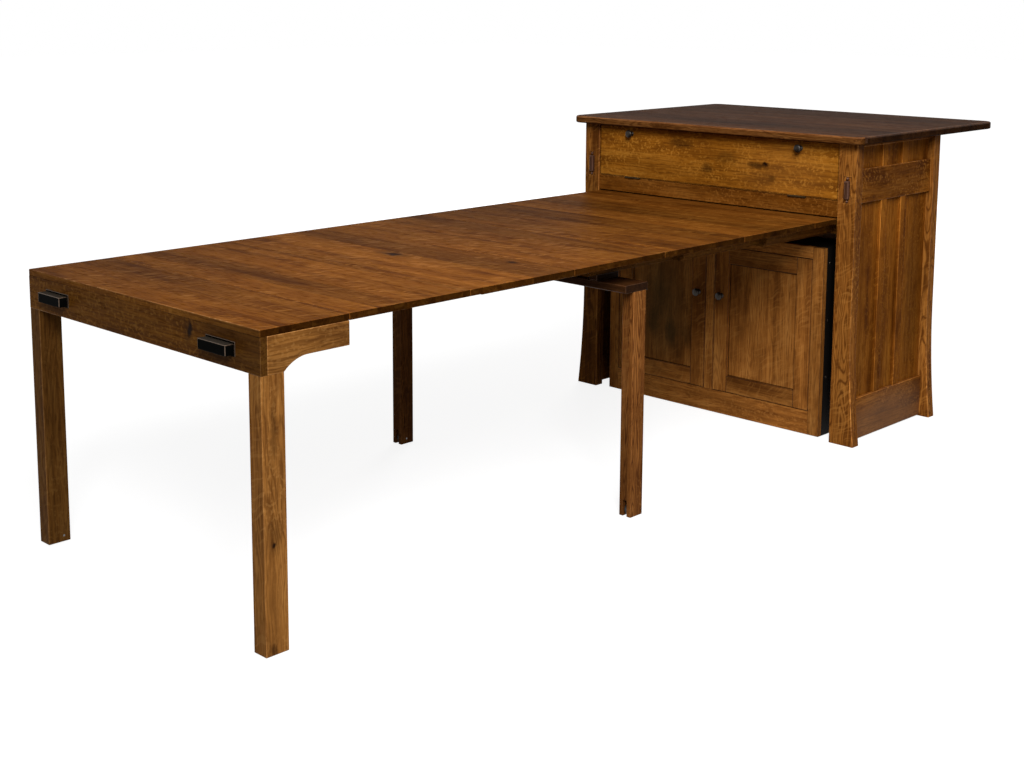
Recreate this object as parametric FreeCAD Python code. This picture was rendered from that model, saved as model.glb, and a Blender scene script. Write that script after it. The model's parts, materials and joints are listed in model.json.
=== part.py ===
import FreeCAD, Part
import math
import os

"""A kitchen island in stained oak with a table that pulls out of its front on wooden slides.

Millimetres. X runs across the island, Y from the table's end towards the island's back, Z up.
Everything is worked out with Y zero on the front faces of the front posts. The finished pieces are
then moved along Y, so that the origin is on the floor in the middle of the whole object.
"""

Vector = FreeCAD.Vector

# Island top
top_thick = 26.0
top_side_overhang = 35.0
top_front_overhang = 36.0
top_back_overhang = 321.0
top_corner_radius = 25.0
top_edge_ease = 3.0

# Posts, which flare outwards at the foot
bay_width = 1016.0
post_width = 67.0
post_thick = 38.0
foot_flare = 24.0
flare_height = 400.0
post_ease = 1.5

# Sides and back: a board with rails and mullions standing on its outside
rail_inset = 14.0
rail_proud = 12.0
mullion_proud = 10.0
mullion_width = 38.0
side_middle_field = 90.0
panel_board_thick = 13.0
back_rail_inset = 5.0
back_rail_proud = 10.0
back_mullion_proud = 9.0
back_mullion_count = 3
base_rail_bottom = 4.0
base_rail_height = 142.0
mid_rail_height = 112.0
upper_field_height = 72.0
top_rail_height = 14.0
rail_ease = 1.0

# Keys let into the front posts
key_centre_above_rail = 40.0
key_recess_width = 30.0
key_recess_height = 88.0
key_recess_depth = 4.0
key_width = 17.0
key_height = 60.0
key_proud = 8.0
key_ease = 2.5
peg_width = 11.0
peg_proud = 6.0
peg_shoulder = 1.5

# Leaf store: front rail, floor and the front that drops
face_inset = 5.0
front_board_thick = 19.0
front_rail_height = 53.0
store_floor_thick = 16.0
drop_front_height = 187.0
drop_gap = 2.0
drop_side_gap = 1.6
drop_ease = 1.0
drop_knob_from_end = 148.4
drop_knob_below_top = 27.0

# Hinges of the drop front
hinge_from_end = 156.4
hinge_length = 68.0
hinge_knuckle_radius = 3.5
hinge_pin_radius = 1.5
hinge_leaf_thick = 0.8
hinge_leaf_depth = 14.0
hinge_knuckle_gap = 0.3
hinge_mortise_clearance = 0.8
hinge_axis_proud = 1.5
running_clearance = 0.05

# Table boards
table_height = 750.0
table_thick = 17.0
table_side_clearance = 2.5
table_rail_clearance = 5.0
leaf_pitch = 385.0
leaf_gap = 0.4
closed_table_setback = 10.0
closed_table_clearance = 1.0
table_ease = 1.2

# End of the table
apron_height = 87.0
apron_thick = 19.0
end_leg_width = 46.0
end_leg_depth = 64.0
bracket_thick = 20.0
bracket_tail_height = 58.0
bracket_curve_length = 71.0
bracket_curve_rise_share = 0.62
bracket_curve_run_share = 0.34
leg_floor_gap = 2.0
leg_ease = 1.2

# Pulls on the end apron
pull_from_end = 146.5
pull_length = 106.0
pull_height = 28.0
pull_reach = 24.0
pull_wall = 3.0
pull_plate_thick = 2.0
pull_plate_margin = 3.0
pull_below_table_top = 58.0
pull_ease = 0.8

# Telescoping slides
slide_stage_count = 6
slide_width = 28.0
slide_height = 40.0
slide_overlap = 75.0
slide_front_setback = 50.0
slide_back_clearance = 3.0
slide_bracket_clearance = 1.5
slide_table_clearance = 0.3
slide_face_clearance = 0.3
tongue_neck_height = 12.0
tongue_neck_depth = 4.0
tongue_head_height = 24.0
tongue_head_depth = 6.0
tongue_clearance = 0.5
slide_ease = 1.0

# Bridge that carries the slides half way along the table
bridge_bar_thick = 22.0
bridge_spacer_height = 17.0
bridge_bar_depth = 96.0
bridge_closed_setback = 89.0
bridge_leg_width = 41.0
bridge_leg_depth = 53.0
bridge_leg_setback = 36.0
bridge_ease = 1.5

# Rollers in the feet of the table
roller_radius = 18.0
roller_width = 12.0
roller_slot_width = 14.0
roller_axle_radius = 3.0
roller_end_from_front = 45.0
roller_bridge_from_front = 24.0
roller_swing_room = 3.0
roller_slot_headroom = 4.0
roller_bridge_headroom = 13.0
axle_end_setback = 0.5
axle_outer_cover = 7.0

# Lower cabinet
leg_bay_width = 51.5
cabinet_front = 17.0
cabinet_floor_gap = 3.0
cabinet_slot_clearance = 2.0
cabinet_board_thick = 16.0
cabinet_back_thick = 12.0
frame_thick = 19.0
frame_stile_width = 42.5
frame_mullion_width = 36.0
frame_top_rail_height = 39.0
frame_bottom_rail_height = 80.0
frame_ease = 0.8
bearer_depth = 40.0
bearer_bridge_clearance = 25.0
bearer_back_setback = 15.0

# Cabinet doors, which turn on pins in the face frame's rails
door_gap = 2.5
door_thick = 20.0
door_stile_width = 58.0
door_panel_thick = 8.0
door_panel_recess = 8.0
door_ease = 0.8
door_pin_setback = 5.0
door_pin_radius = 2.4
door_pin_length = 8.0
door_pin_seat = 14.0
door_pin_end_room = 1.0
door_knob_height = 428.0
door_knob_from_edge = 29.0

# Knobs
knob_radius = 14.0
knob_length = 25.0
knob_neck_radius = 6.0
knob_neck_length = 11.0
knob_rose_radius = 9.0
knob_rose_thick = 2.5
knob_rim_thick = 4.0
knob_flat_radius = 6.0

# How far a cutting tool runs past the face that it cuts
overrun = 2.0

leaf_count = slide_stage_count - 1
bridge_stage = slide_stage_count // 2
table_reach = slide_stage_count * leaf_pitch - closed_table_setback
slide_length = leaf_pitch + slide_overlap

half_bay = bay_width / 2
post_outer = half_bay + post_width
top_half = post_outer + top_side_overhang
rail_face = post_outer - rail_inset
panel_face = rail_face - rail_proud
panel_back = panel_face - panel_board_thick
back_panel_inner = slide_front_setback + slide_length + slide_back_clearance
back_panel_face = back_panel_inner + panel_board_thick
back_rail_face = back_panel_face + back_rail_proud
carcass_depth = back_rail_face + back_rail_inset
front_field = post_thick
back_field = carcass_depth - post_thick

front_rail_bottom = table_height + table_rail_clearance
front_rail_top = front_rail_bottom + front_rail_height
front_board_back = face_inset + front_board_thick
drop_bottom = front_rail_top + drop_gap
drop_top = drop_bottom + drop_front_height
drop_half = half_bay - drop_side_gap
hinge_height = front_rail_top + drop_gap / 2
hinge_y = face_inset - hinge_axis_proud
hinge_offset = drop_half - hinge_from_end
key_height_centre = front_rail_top + key_centre_above_rail

top_underside = drop_top + drop_gap
island_height = top_underside + top_thick
base_rail_top = base_rail_bottom + base_rail_height
top_rail_bottom = top_underside - top_rail_height
mid_rail_top = top_rail_bottom - upper_field_height
mid_rail_bottom = mid_rail_top - mid_rail_height

table_half = half_bay - table_side_clearance
table_underside = table_height - table_thick
apron_bottom = table_underside - apron_height
end_board_depth = (back_panel_inner - closed_table_setback - closed_table_clearance) / 2
end_front = -table_reach
end_board_back = end_front + end_board_depth
apron_back = end_front + apron_thick

slide_top = table_underside - slide_table_clearance
slide_bottom = slide_top - slide_height
slide_outer_face = table_half - bracket_thick - slide_bracket_clearance
bridge_bar_top = slide_bottom - bridge_spacer_height
bridge_bar_bottom = bridge_bar_top - bridge_bar_thick
bridge_bar_y = bridge_closed_setback - bridge_stage * leaf_pitch

frame_back = cabinet_front + frame_thick
cabinet_back = back_panel_inner
cabinet_top_height = apron_bottom - cabinet_slot_clearance
cabinet_half = half_bay - leg_bay_width
cabinet_board_inner = cabinet_half - cabinet_board_thick
opening_outer = cabinet_half - frame_stile_width
opening_inner = frame_mullion_width / 2
opening_bottom = cabinet_floor_gap + frame_bottom_rail_height
opening_top = cabinet_top_height - frame_top_rail_height
bearer_front = bridge_closed_setback + bridge_bar_depth + bearer_bridge_clearance
bearer_back = slide_front_setback + slide_length - bearer_back_setback - bearer_depth

frame_shift = (table_reach + pull_plate_thick + pull_reach - carcass_depth - top_back_overhang) / 2


def block(x0, x1, y0, y1, z0, z1):
    """A board between two corners."""
    return Part.makeBox(x1 - x0, y1 - y0, z1 - z0, Vector(x0, y0, z0))


def rod(start, direction, radius, length):
    """A round bar from a point along a direction."""
    return Part.makeCylinder(radius, length, start, direction)


def edges_along(shape, axis, at=None):
    """Straight edges that run along an axis, and of those only the ones that meet a test on their centre."""
    found = []
    for edge in shape.Edges:
        ends = [vertex.Point for vertex in edge.Vertexes]
        if len(ends) != 2:
            continue
        run = ends[1] - ends[0]
        if abs(abs(run.dot(axis)) - run.Length) > running_clearance:
            continue
        if at is None or at(edge.CenterOfMass):
            found.append(edge)
    return found


def eased_along(shape, size, axis, at=None):
    """The shape with a chamfer on chosen edges along one axis."""
    return shape.makeChamfer(size, edges_along(shape, axis, at))


def mirrored(shape):
    """The same piece on the other side of the island."""
    return shape.mirror(Vector(0, 0, 0), Vector(1, 0, 0))


def pair(shape):
    """A piece and its mirror image, as two solids."""
    return Part.makeCompound([shape, mirrored(shape)])


def turned_profile(points, centre, direction):
    """A solid of revolution about a line through the centre; points are (radius, distance along it)."""
    side = Vector(0, 0, 1)
    corners = [centre + side * radius + direction * distance for radius, distance in points]
    outline = Part.Wire(Part.makePolygon(corners + [corners[0]]))
    return Part.Face(outline).revolve(centre, direction, 360)


def save(node, shape):
    """Writes one node, moved to the object's own origin."""
    placed = shape.copy()
    placed.translate(Vector(0, frame_shift, 0))
    placed.exportStep("parts/%s.step" % node)


X_AXIS = Vector(1, 0, 0)
Y_AXIS = Vector(0, 1, 0)
Z_AXIS = Vector(0, 0, 1)
FORWARD = Vector(0, -1, 0)


def make_top():
    """The counter: a thick board with rounded corners and eased edges, far out over the back."""
    top = block(-top_half, top_half, -top_front_overhang, carcass_depth + top_back_overhang,
                top_underside, island_height)
    top = top.makeFillet(top_corner_radius, edges_along(top, Z_AXIS))
    rim = [edge for edge in top.Edges if abs(edge.BoundBox.ZLength) < running_clearance]
    return top.makeChamfer(top_edge_ease, rim)


def make_post(front):
    """A right-hand post: straight above, and below it sweeps outwards in one arc to the foot."""
    radius = (flare_height ** 2 + foot_flare ** 2) / (2 * foot_flare)
    half_turn = math.asin(flare_height / radius) / 2
    middle = Vector(post_outer + radius * (1 - math.cos(half_turn)), front,
                    flare_height - radius * math.sin(half_turn))
    inner_foot = Vector(half_bay, front, 0)
    outer_foot = Vector(post_outer + foot_flare, front, 0)
    arc_top = Vector(post_outer, front, flare_height)
    outer_top = Vector(post_outer, front, top_underside)
    inner_top = Vector(half_bay, front, top_underside)
    outline = Part.Wire([
        Part.makeLine(inner_foot, outer_foot),
        Part.Arc(outer_foot, middle, arc_top).toShape(),
        Part.makeLine(arc_top, outer_top),
        Part.makeLine(outer_top, inner_top),
        Part.makeLine(inner_top, inner_foot),
    ])
    post = Part.Face(outline).extrude(Vector(0, post_thick, 0))
    long_edges = [edge for edge in post.Edges if edge.BoundBox.ZLength > foot_flare]
    return post.makeChamfer(post_ease, long_edges)


def make_front_post():
    """A front post with the shallow mortise that holds its key."""
    centre = half_bay + post_width / 2
    mortise = block(centre - key_recess_width / 2, centre + key_recess_width / 2, -overrun, key_recess_depth,
                    key_height_centre - key_recess_height / 2, key_height_centre + key_recess_height / 2)
    return make_post(0).cut(mortise)


def make_key():
    """The upright key, seated on the floor of its mortise and standing proud of the post."""
    centre = half_bay + post_width / 2
    key = block(centre - key_width / 2, centre + key_width / 2, -key_proud, key_recess_depth,
                key_height_centre - key_height / 2, key_height_centre + key_height / 2)
    front_rim = [edge for edge in key.Edges if edge.BoundBox.YMax < 0]
    return key.makeChamfer(key_ease, front_rim)


def make_peg(height):
    """A square peg with a low pyramid head, set with its corner upwards."""
    centre = Vector(half_bay + post_width / 2, 0, height)
    half = peg_width / 2
    corners = [Vector(half, 0, 0), Vector(0, 0, half), Vector(-half, 0, 0), Vector(0, 0, -half)]
    seat = [centre + corner + Y_AXIS * key_recess_depth for corner in corners]
    rim = [centre + corner - Y_AXIS * peg_shoulder for corner in corners]
    tip = centre - Y_AXIS * peg_proud
    body = Part.Face(Part.makePolygon(seat + [seat[0]])).extrude(rim[0] - seat[0])
    sides = [Part.Face(Part.makePolygon([rim[i], rim[(i + 1) % 4], tip, rim[i]])) for i in range(4)]
    base = Part.Face(Part.makePolygon(rim + [rim[0]]))
    return body.fuse(Part.Solid(Part.Shell(sides + [base]))).removeSplitter()


def make_pegs():
    """The pegs above and below the key."""
    offset = (key_recess_height + key_height) / 4
    return [make_peg(key_height_centre + sign * offset) for sign in (-1, 1)]


def field_heights():
    """Lower and upper ends of the lower and the upper field between the rails."""
    return ((base_rail_top, mid_rail_bottom), (mid_rail_top, top_rail_bottom))


def make_side_panel():
    """The board of one side, with two mullions in the lower field and two in the upper one."""
    pieces = [block(panel_back, panel_face, front_field, back_field, base_rail_bottom, top_underside)]
    middle = (front_field + back_field) / 2
    offset = (side_middle_field + mullion_width) / 2
    for centre in (middle - offset, middle + offset):
        for low, high in field_heights():
            mullion = block(panel_face, panel_face + mullion_proud, centre - mullion_width / 2,
                            centre + mullion_width / 2, low, high)
            pieces.append(eased_along(mullion, rail_ease, Z_AXIS, lambda c: c.x > panel_face))
    return Part.makeCompound(pieces)


def rail_heights():
    """Lower edge and height of the base, middle and top rails of the sides and the back."""
    return ((base_rail_bottom, base_rail_height), (mid_rail_bottom, mid_rail_height),
            (top_rail_bottom, top_rail_height))


def make_side_rails():
    """The right-hand side's rails, which lie on its board between the posts."""
    rails = []
    for bottom, height in rail_heights():
        rail = block(panel_face, rail_face, front_field, back_field, bottom, bottom + height)
        rails.append(eased_along(rail, rail_ease, Y_AXIS, lambda c: c.x > panel_face))
    return Part.makeCompound(rails)


def make_back_panel():
    """The back board with its mullions, which faces the stools under the overhang."""
    pieces = [block(-half_bay, half_bay, back_panel_inner, back_panel_face, base_rail_bottom, top_underside)]
    pitch = bay_width / (back_mullion_count + 1)
    for i in range(back_mullion_count):
        centre = -half_bay + pitch * (i + 1)
        for low, high in field_heights():
            mullion = block(centre - mullion_width / 2, centre + mullion_width / 2, back_panel_face,
                            back_panel_face + back_mullion_proud, low, high)
            pieces.append(eased_along(mullion, rail_ease, Z_AXIS, lambda c: c.y > back_panel_face))
    return Part.makeCompound(pieces)


def make_back_rails():
    """The rails across the back between the back posts."""
    rails = []
    for bottom, height in rail_heights():
        rail = block(-half_bay, half_bay, back_panel_face, back_rail_face, bottom, bottom + height)
        rails.append(eased_along(rail, rail_ease, X_AXIS, lambda c: c.y > back_panel_face))
    return Part.makeCompound(rails)


def hinge_mortises():
    """Round grooves in the drop front and the rail that the hinge barrels lie in."""
    radius = hinge_knuckle_radius + hinge_mortise_clearance
    length = hinge_length + 2 * hinge_mortise_clearance
    groove = rod(Vector(hinge_offset - length / 2, hinge_y, hinge_height), X_AXIS, radius, length)
    return pair(groove)


def make_front_rail():
    """The rail over the table's slot, grooved for the hinge barrels."""
    rail = block(-half_bay, half_bay, face_inset, front_board_back, front_rail_bottom, front_rail_top)
    return rail.cut(hinge_mortises())


def make_drop_front():
    """The front of the leaf store, hinged along its lower edge."""
    front = block(-drop_half, drop_half, face_inset, front_board_back, drop_bottom, drop_top)
    front = front.makeChamfer(drop_ease, [edge for edge in front.Edges if edge.BoundBox.YMax < front_board_back])
    return front.cut(hinge_mortises())


def make_store_floor():
    """The floor of the leaf store, notched round the posts."""
    low = front_rail_top - store_floor_thick
    middle = block(-panel_back, panel_back, front_field, back_field, low, front_rail_top)
    front = block(-half_bay, half_bay, front_board_back, front_field, low, front_rail_top)
    back = block(-half_bay, half_bay, back_field, back_panel_inner, low, front_rail_top)
    return middle.fuse([front, back]).removeSplitter()


def hinge_spans():
    """Ends along X of the left, middle and right knuckles of the right-hand hinge."""
    start = hinge_offset - hinge_length / 2
    third = hinge_length / 3
    ends = [start, start + third, start + 2 * third, start + hinge_length]
    room = hinge_knuckle_gap / 2
    return [(ends[0], ends[1] - room), (ends[1] + room, ends[2] - room), (ends[2] + room, ends[3])]


def hinge_leaf(low, high, spans, turning):
    """A hinge leaf with its knuckles; the other leaf's knuckles turn in the room that is left."""
    start = hinge_offset - hinge_length / 2
    clear = hinge_y + hinge_knuckle_radius + hinge_knuckle_gap
    leaf = block(start, start + hinge_length, clear, clear + hinge_leaf_depth, low, high)
    for x0, x1 in spans:
        knuckle = rod(Vector(x0, hinge_y, hinge_height), X_AXIS, hinge_knuckle_radius, x1 - x0)
        web = block(x0, x1, hinge_y + hinge_pin_radius + turning, clear, low, high)
        leaf = leaf.fuse([knuckle, web])
    return leaf.removeSplitter()


def make_fixed_hinge():
    """The leaf on the rail, with its two outer knuckles and the pin."""
    left, middle, right = hinge_spans()
    leaf = hinge_leaf(front_rail_top, front_rail_top + hinge_leaf_thick, (left, right), 0)
    pin = rod(Vector(left[0], hinge_y, hinge_height), X_AXIS, hinge_pin_radius, hinge_length)
    return leaf.fuse(pin).removeSplitter()


def make_moving_hinge():
    """The leaf on the drop front, whose middle knuckle turns on the pin."""
    left, middle, right = hinge_spans()
    leaf = hinge_leaf(drop_bottom - hinge_leaf_thick, drop_bottom, (middle,), running_clearance)
    radius = hinge_pin_radius + running_clearance
    bore = rod(Vector(middle[0] - overrun, hinge_y, hinge_height), X_AXIS, radius,
               middle[1] - middle[0] + 2 * overrun)
    return leaf.cut(bore)


def make_knob(x, y, z):
    """A turned knob on a small rose; it stands forwards from a face at y."""
    profile = [
        (0, 0),
        (knob_rose_radius, 0),
        (knob_rose_radius, knob_rose_thick),
        (knob_neck_radius, knob_rose_thick),
        (knob_neck_radius, knob_neck_length),
        (knob_radius, knob_length - knob_rim_thick),
        (knob_flat_radius, knob_length),
        (0, knob_length),
    ]
    return turned_profile(profile, Vector(x, y, z), FORWARD)


def make_board(y0, y1):
    """A table board with its two ends eased; the long edges stay square so that the joints close."""
    board = block(-table_half, table_half, y0, y1, table_underside, table_height)
    return eased_along(board, table_ease, Y_AXIS)


def make_leaf(index):
    """One loose leaf; the first is next to the table's end."""
    start = end_board_back + leaf_pitch * index
    return make_board(start + leaf_gap, start + leaf_pitch)


def make_inner_board():
    """The inner half of the closed table, which rides on the first slides."""
    start = end_board_back + leaf_pitch * leaf_count
    return make_board(start + leaf_gap, start + end_board_depth)


def make_apron():
    """The end board of the table, flush with the front edge of the top above it."""
    apron = block(-table_half, table_half, end_front, apron_back, apron_bottom, table_underside)
    return eased_along(apron, table_ease, X_AXIS, lambda c: c.z < table_underside)


def make_bracket():
    """A right-hand side apron that curves down behind the leg."""
    leg_back = end_front + end_leg_depth
    curve_end = leg_back + bracket_curve_length
    tail_bottom = table_underside - bracket_tail_height
    rise = tail_bottom - apron_bottom
    outer = table_half
    start = Vector(outer, leg_back, apron_bottom)
    middle = Vector(outer, leg_back + bracket_curve_length * bracket_curve_run_share,
                    apron_bottom + rise * bracket_curve_rise_share)
    end = Vector(outer, curve_end, tail_bottom)
    corner_front_low = Vector(outer, apron_back, apron_bottom)
    corner_front_high = Vector(outer, apron_back, table_underside)
    corner_back_high = Vector(outer, end_board_back, table_underside)
    corner_back_low = Vector(outer, end_board_back, tail_bottom)
    outline = Part.Wire([
        Part.makeLine(corner_front_low, start),
        Part.Arc(start, middle, end).toShape(),
        Part.makeLine(end, corner_back_low),
        Part.makeLine(corner_back_low, corner_back_high),
        Part.makeLine(corner_back_high, corner_front_high),
        Part.makeLine(corner_front_high, corner_front_low),
    ])
    return Part.Face(outline).extrude(Vector(-bracket_thick, 0, 0))


def roller_slot(x, wheel_y, front_y, back_y, top_z):
    """The slot in a foot that its roller turns in."""
    return block(x - roller_slot_width / 2, x + roller_slot_width / 2, front_y, back_y, -overrun, top_z)


def axle_bore(x, half, wheel_y):
    """The hole that a foot's axle is pressed into, drilled from the inner face and short of the outer one."""
    start = Vector(x - half - overrun, wheel_y, roller_radius)
    return rod(start, X_AXIS, roller_axle_radius, 2 * half + overrun - axle_outer_cover)


def end_leg_x():
    """Middle of the right-hand end leg across the table."""
    return table_half - end_leg_width / 2


def end_wheel_y():
    """Where the end legs' axles are along the table."""
    return end_front + roller_end_from_front


def make_end_leg():
    """A right-hand end leg under the corner of apron and bracket, slotted from the back for its roller."""
    leg_back = end_front + end_leg_depth
    leg = block(table_half - end_leg_width, table_half, end_front, leg_back, leg_floor_gap, apron_bottom)
    leg = eased_along(leg, leg_ease, Z_AXIS)
    slot = roller_slot(end_leg_x(), end_wheel_y(), end_wheel_y() - roller_radius - roller_swing_room,
                       leg_back + overrun, 2 * roller_radius + roller_slot_headroom)
    return leg.cut(slot).cut(axle_bore(end_leg_x(), end_leg_width / 2, end_wheel_y()))


def bridge_leg_x():
    """Middle of the right-hand bridge leg across the table."""
    return table_half - bridge_leg_width / 2


def bridge_leg_front():
    """Front face of the bridge legs."""
    return bridge_bar_y + bridge_leg_setback


def bridge_wheel_y():
    """Where the bridge legs' axles are along the table."""
    return bridge_leg_front() + roller_bridge_from_front


def make_bridge_leg():
    """A right-hand bridge leg, slotted from the front for its roller."""
    front = bridge_leg_front()
    leg = block(table_half - bridge_leg_width, table_half, front, front + bridge_leg_depth,
                leg_floor_gap, bridge_bar_bottom)
    leg = eased_along(leg, leg_ease, Z_AXIS)
    slot = roller_slot(bridge_leg_x(), bridge_wheel_y(), front - overrun,
                       bridge_wheel_y() + roller_radius + roller_swing_room,
                       2 * roller_radius + roller_bridge_headroom)
    return leg.cut(slot).cut(axle_bore(bridge_leg_x(), bridge_leg_width / 2, bridge_wheel_y()))


def make_bridge_bar():
    """The flat bar across both bridge legs."""
    bar = block(-table_half, table_half, bridge_bar_y, bridge_bar_y + bridge_bar_depth,
                bridge_bar_bottom, bridge_bar_top)
    return eased_along(bar, bridge_ease, X_AXIS)


def make_bridge_spacer():
    """The right-hand block on the bar that the middle slide rests on."""
    outer = slide_outer_face - slide_width * bridge_stage
    return block(outer - slide_width, outer, bridge_bar_y, bridge_bar_y + bridge_bar_depth,
                 bridge_bar_top, slide_bottom)


def make_roller(x, wheel_y):
    """A small flat-rimmed wheel, bored to turn on its axle."""
    half = roller_width / 2
    bore = roller_axle_radius + running_clearance
    profile = [(bore, -half), (roller_radius, -half), (roller_radius, half), (bore, half)]
    return turned_profile(profile, Vector(x, wheel_y, roller_radius), X_AXIS)


def make_axle(x, half, wheel_y):
    """The steel pin that a roller turns on."""
    start = Vector(x - half + axle_end_setback, wheel_y, roller_radius)
    return rod(start, X_AXIS, roller_axle_radius, 2 * half - axle_end_setback - axle_outer_cover)


def tongue(outer, y0, y1, spare):
    """A T-shaped tongue that stands outwards from a face at outer; spare widens it into its groove."""
    middle = (slide_top + slide_bottom) / 2
    neck = tongue_neck_height / 2 + spare
    head = tongue_head_height / 2 + spare
    neck_end = outer + tongue_neck_depth - spare
    head_end = outer + tongue_neck_depth + tongue_head_depth + spare
    neck_block = block(outer - slide_face_clearance, neck_end + spare, y0, y1, middle - neck, middle + neck)
    head_block = block(neck_end, head_end, y0, y1, middle - head, middle + head)
    return neck_block.fuse(head_block).removeSplitter()


def make_slide(stage):
    """One right-hand slide: a groove on its inner side takes the next slide's tongue, and its own
    tongue runs in the slide before it. Stage 0 is fixed in the island and the last one to the table's end."""
    outer = slide_outer_face - slide_width * stage
    inner = outer - slide_width
    front = slide_front_setback - leaf_pitch * stage
    back = front + slide_length
    face = outer if stage == 0 else outer - slide_face_clearance
    slide = block(inner, face, front, back, slide_bottom, slide_top)
    slide = eased_along(slide, slide_ease, Y_AXIS)
    if stage < slide_stage_count:
        groove = tongue(inner - slide_face_clearance, front - overrun, back + overrun, tongue_clearance)
        slide = slide.cut(groove)
    if stage > 0:
        slide = slide.fuse(tongue(outer - slide_face_clearance, front, back, 0)).removeSplitter()
    return slide


def make_bearers():
    """Two cross pieces on the cabinet that carry the fixed slides."""
    low = cabinet_top_height
    return [block(-slide_outer_face, slide_outer_face, y, y + bearer_depth, low, slide_bottom)
            for y in (bearer_front, bearer_back)]


def make_pull():
    """A right-hand pull: a back plate and a box-shaped grip that is open below for the fingers."""
    centre_z = table_height - pull_below_table_top
    x0 = table_half - pull_from_end - pull_length / 2
    x1 = x0 + pull_length
    plate_y = end_front - pull_plate_thick
    z0 = centre_z - pull_height / 2
    z1 = centre_z + pull_height / 2
    plate = block(x0 - pull_plate_margin, x1 + pull_plate_margin, plate_y, end_front,
                  z0 - pull_plate_margin, z1 + pull_plate_margin)
    grip = block(x0, x1, plate_y - pull_reach, plate_y, z0, z1)
    grip = grip.makeChamfer(pull_ease, [edge for edge in grip.Edges if edge.BoundBox.YMax < plate_y])
    hollow = block(x0 + pull_wall, x1 - pull_wall, plate_y - pull_reach + pull_wall, plate_y,
                   z0 - overrun, z1 - pull_wall)
    return grip.cut(hollow).fuse(plate).removeSplitter()


def make_cabinet_side():
    """A right-hand side board of the lower cabinet, black like the leg bay that it faces."""
    return block(cabinet_board_inner, cabinet_half, frame_back, cabinet_back, cabinet_floor_gap, cabinet_top_height)


def make_cabinet_shelf(low):
    """The bottom or the top board between the sides."""
    return block(-cabinet_board_inner, cabinet_board_inner, frame_back, cabinet_back - cabinet_back_thick,
                 low, low + cabinet_board_thick)


def make_cabinet_back():
    """The back board between the sides."""
    return block(-cabinet_board_inner, cabinet_board_inner, cabinet_back - cabinet_back_thick, cabinet_back,
                 cabinet_floor_gap, cabinet_top_height)


def door_pin_x():
    """Where the right-hand door's pins are across the cabinet."""
    return opening_outer - door_gap - door_pin_setback


def door_pin_y():
    """Where the door pins are behind the front of the cabinet."""
    return cabinet_front + door_pin_setback


def door_pin_holes():
    """Holes in the frame's rails that the door pins turn in."""
    radius = door_pin_radius + running_clearance
    depth = door_pin_length - door_gap + door_pin_end_room
    low = rod(Vector(door_pin_x(), door_pin_y(), opening_bottom - depth), Z_AXIS, radius, depth + overrun)
    high = rod(Vector(door_pin_x(), door_pin_y(), opening_top - overrun), Z_AXIS, radius, depth + overrun)
    return [low, high, mirrored(low), mirrored(high)]


def make_frame_stile():
    """The right-hand upright of the face frame."""
    stile = block(opening_outer, cabinet_half, cabinet_front, frame_back, cabinet_floor_gap, cabinet_top_height)
    return eased_along(stile, frame_ease, Z_AXIS, lambda c: c.x > opening_outer and c.y < frame_back)


def make_frame_rail(bottom, top):
    """A rail of the face frame between its uprights, with holes for the door pins."""
    rail = block(-opening_outer, opening_outer, cabinet_front, frame_back, bottom, top)
    return rail.cut(door_pin_holes())


def make_frame_mullion():
    """The middle upright between the doors."""
    return block(-opening_inner, opening_inner, cabinet_front, frame_back, opening_bottom, opening_top)


def door_edges():
    """Left, right, bottom and top of the right-hand door."""
    return (opening_inner + door_gap, opening_outer - door_gap, opening_bottom + door_gap, opening_top - door_gap)


def make_door_pins():
    """The pins that the right-hand door turns on, pressed into the ends of its outer stile."""
    left, right, bottom, top = door_edges()
    length = door_pin_length + door_pin_seat
    return [rod(Vector(door_pin_x(), door_pin_y(), z), Z_AXIS, door_pin_radius, length)
            for z in (bottom - door_pin_length, top - door_pin_seat)]


def make_door_frame():
    """The right-hand door's two stiles and two rails, with the outer stile bored for the pins."""
    left, right, bottom, top = door_edges()
    front = cabinet_front
    back = cabinet_front + door_thick
    inner_stile = block(left, left + door_stile_width, front, back, bottom, top)
    outer_stile = block(right - door_stile_width, right, front, back, bottom, top)
    inner_stile = eased_along(inner_stile, door_ease, Z_AXIS, lambda c: c.y < back)
    outer_stile = eased_along(outer_stile, door_ease, Z_AXIS, lambda c: c.y < back)
    outer_stile = outer_stile.cut(make_door_pins())
    rails = []
    for low in (bottom, top - door_stile_width):
        rail = block(left + door_stile_width, right - door_stile_width, front, back, low, low + door_stile_width)
        rails.append(eased_along(rail, door_ease, X_AXIS, lambda c: c.y < back))
    return Part.makeCompound([inner_stile, outer_stile] + rails)


def make_door_fittings():
    """The right-hand door's knob and pins."""
    knob_x = opening_inner + door_gap + door_knob_from_edge
    return Part.makeCompound([make_knob(knob_x, cabinet_front, door_knob_height)] + make_door_pins())


def make_door_panel():
    """The flat panel in the right-hand door, set back from the frame's face."""
    left, right, bottom, top = door_edges()
    front = cabinet_front + door_panel_recess
    return block(left + door_stile_width, right - door_stile_width, front, front + door_panel_thick,
                 bottom + door_stile_width, top - door_stile_width)


def save_both(name, shape):
    """Writes a right-hand piece and its left-hand mirror image as two nodes."""
    save(name + "_right", shape)
    save(name + "_left", mirrored(shape))


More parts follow.
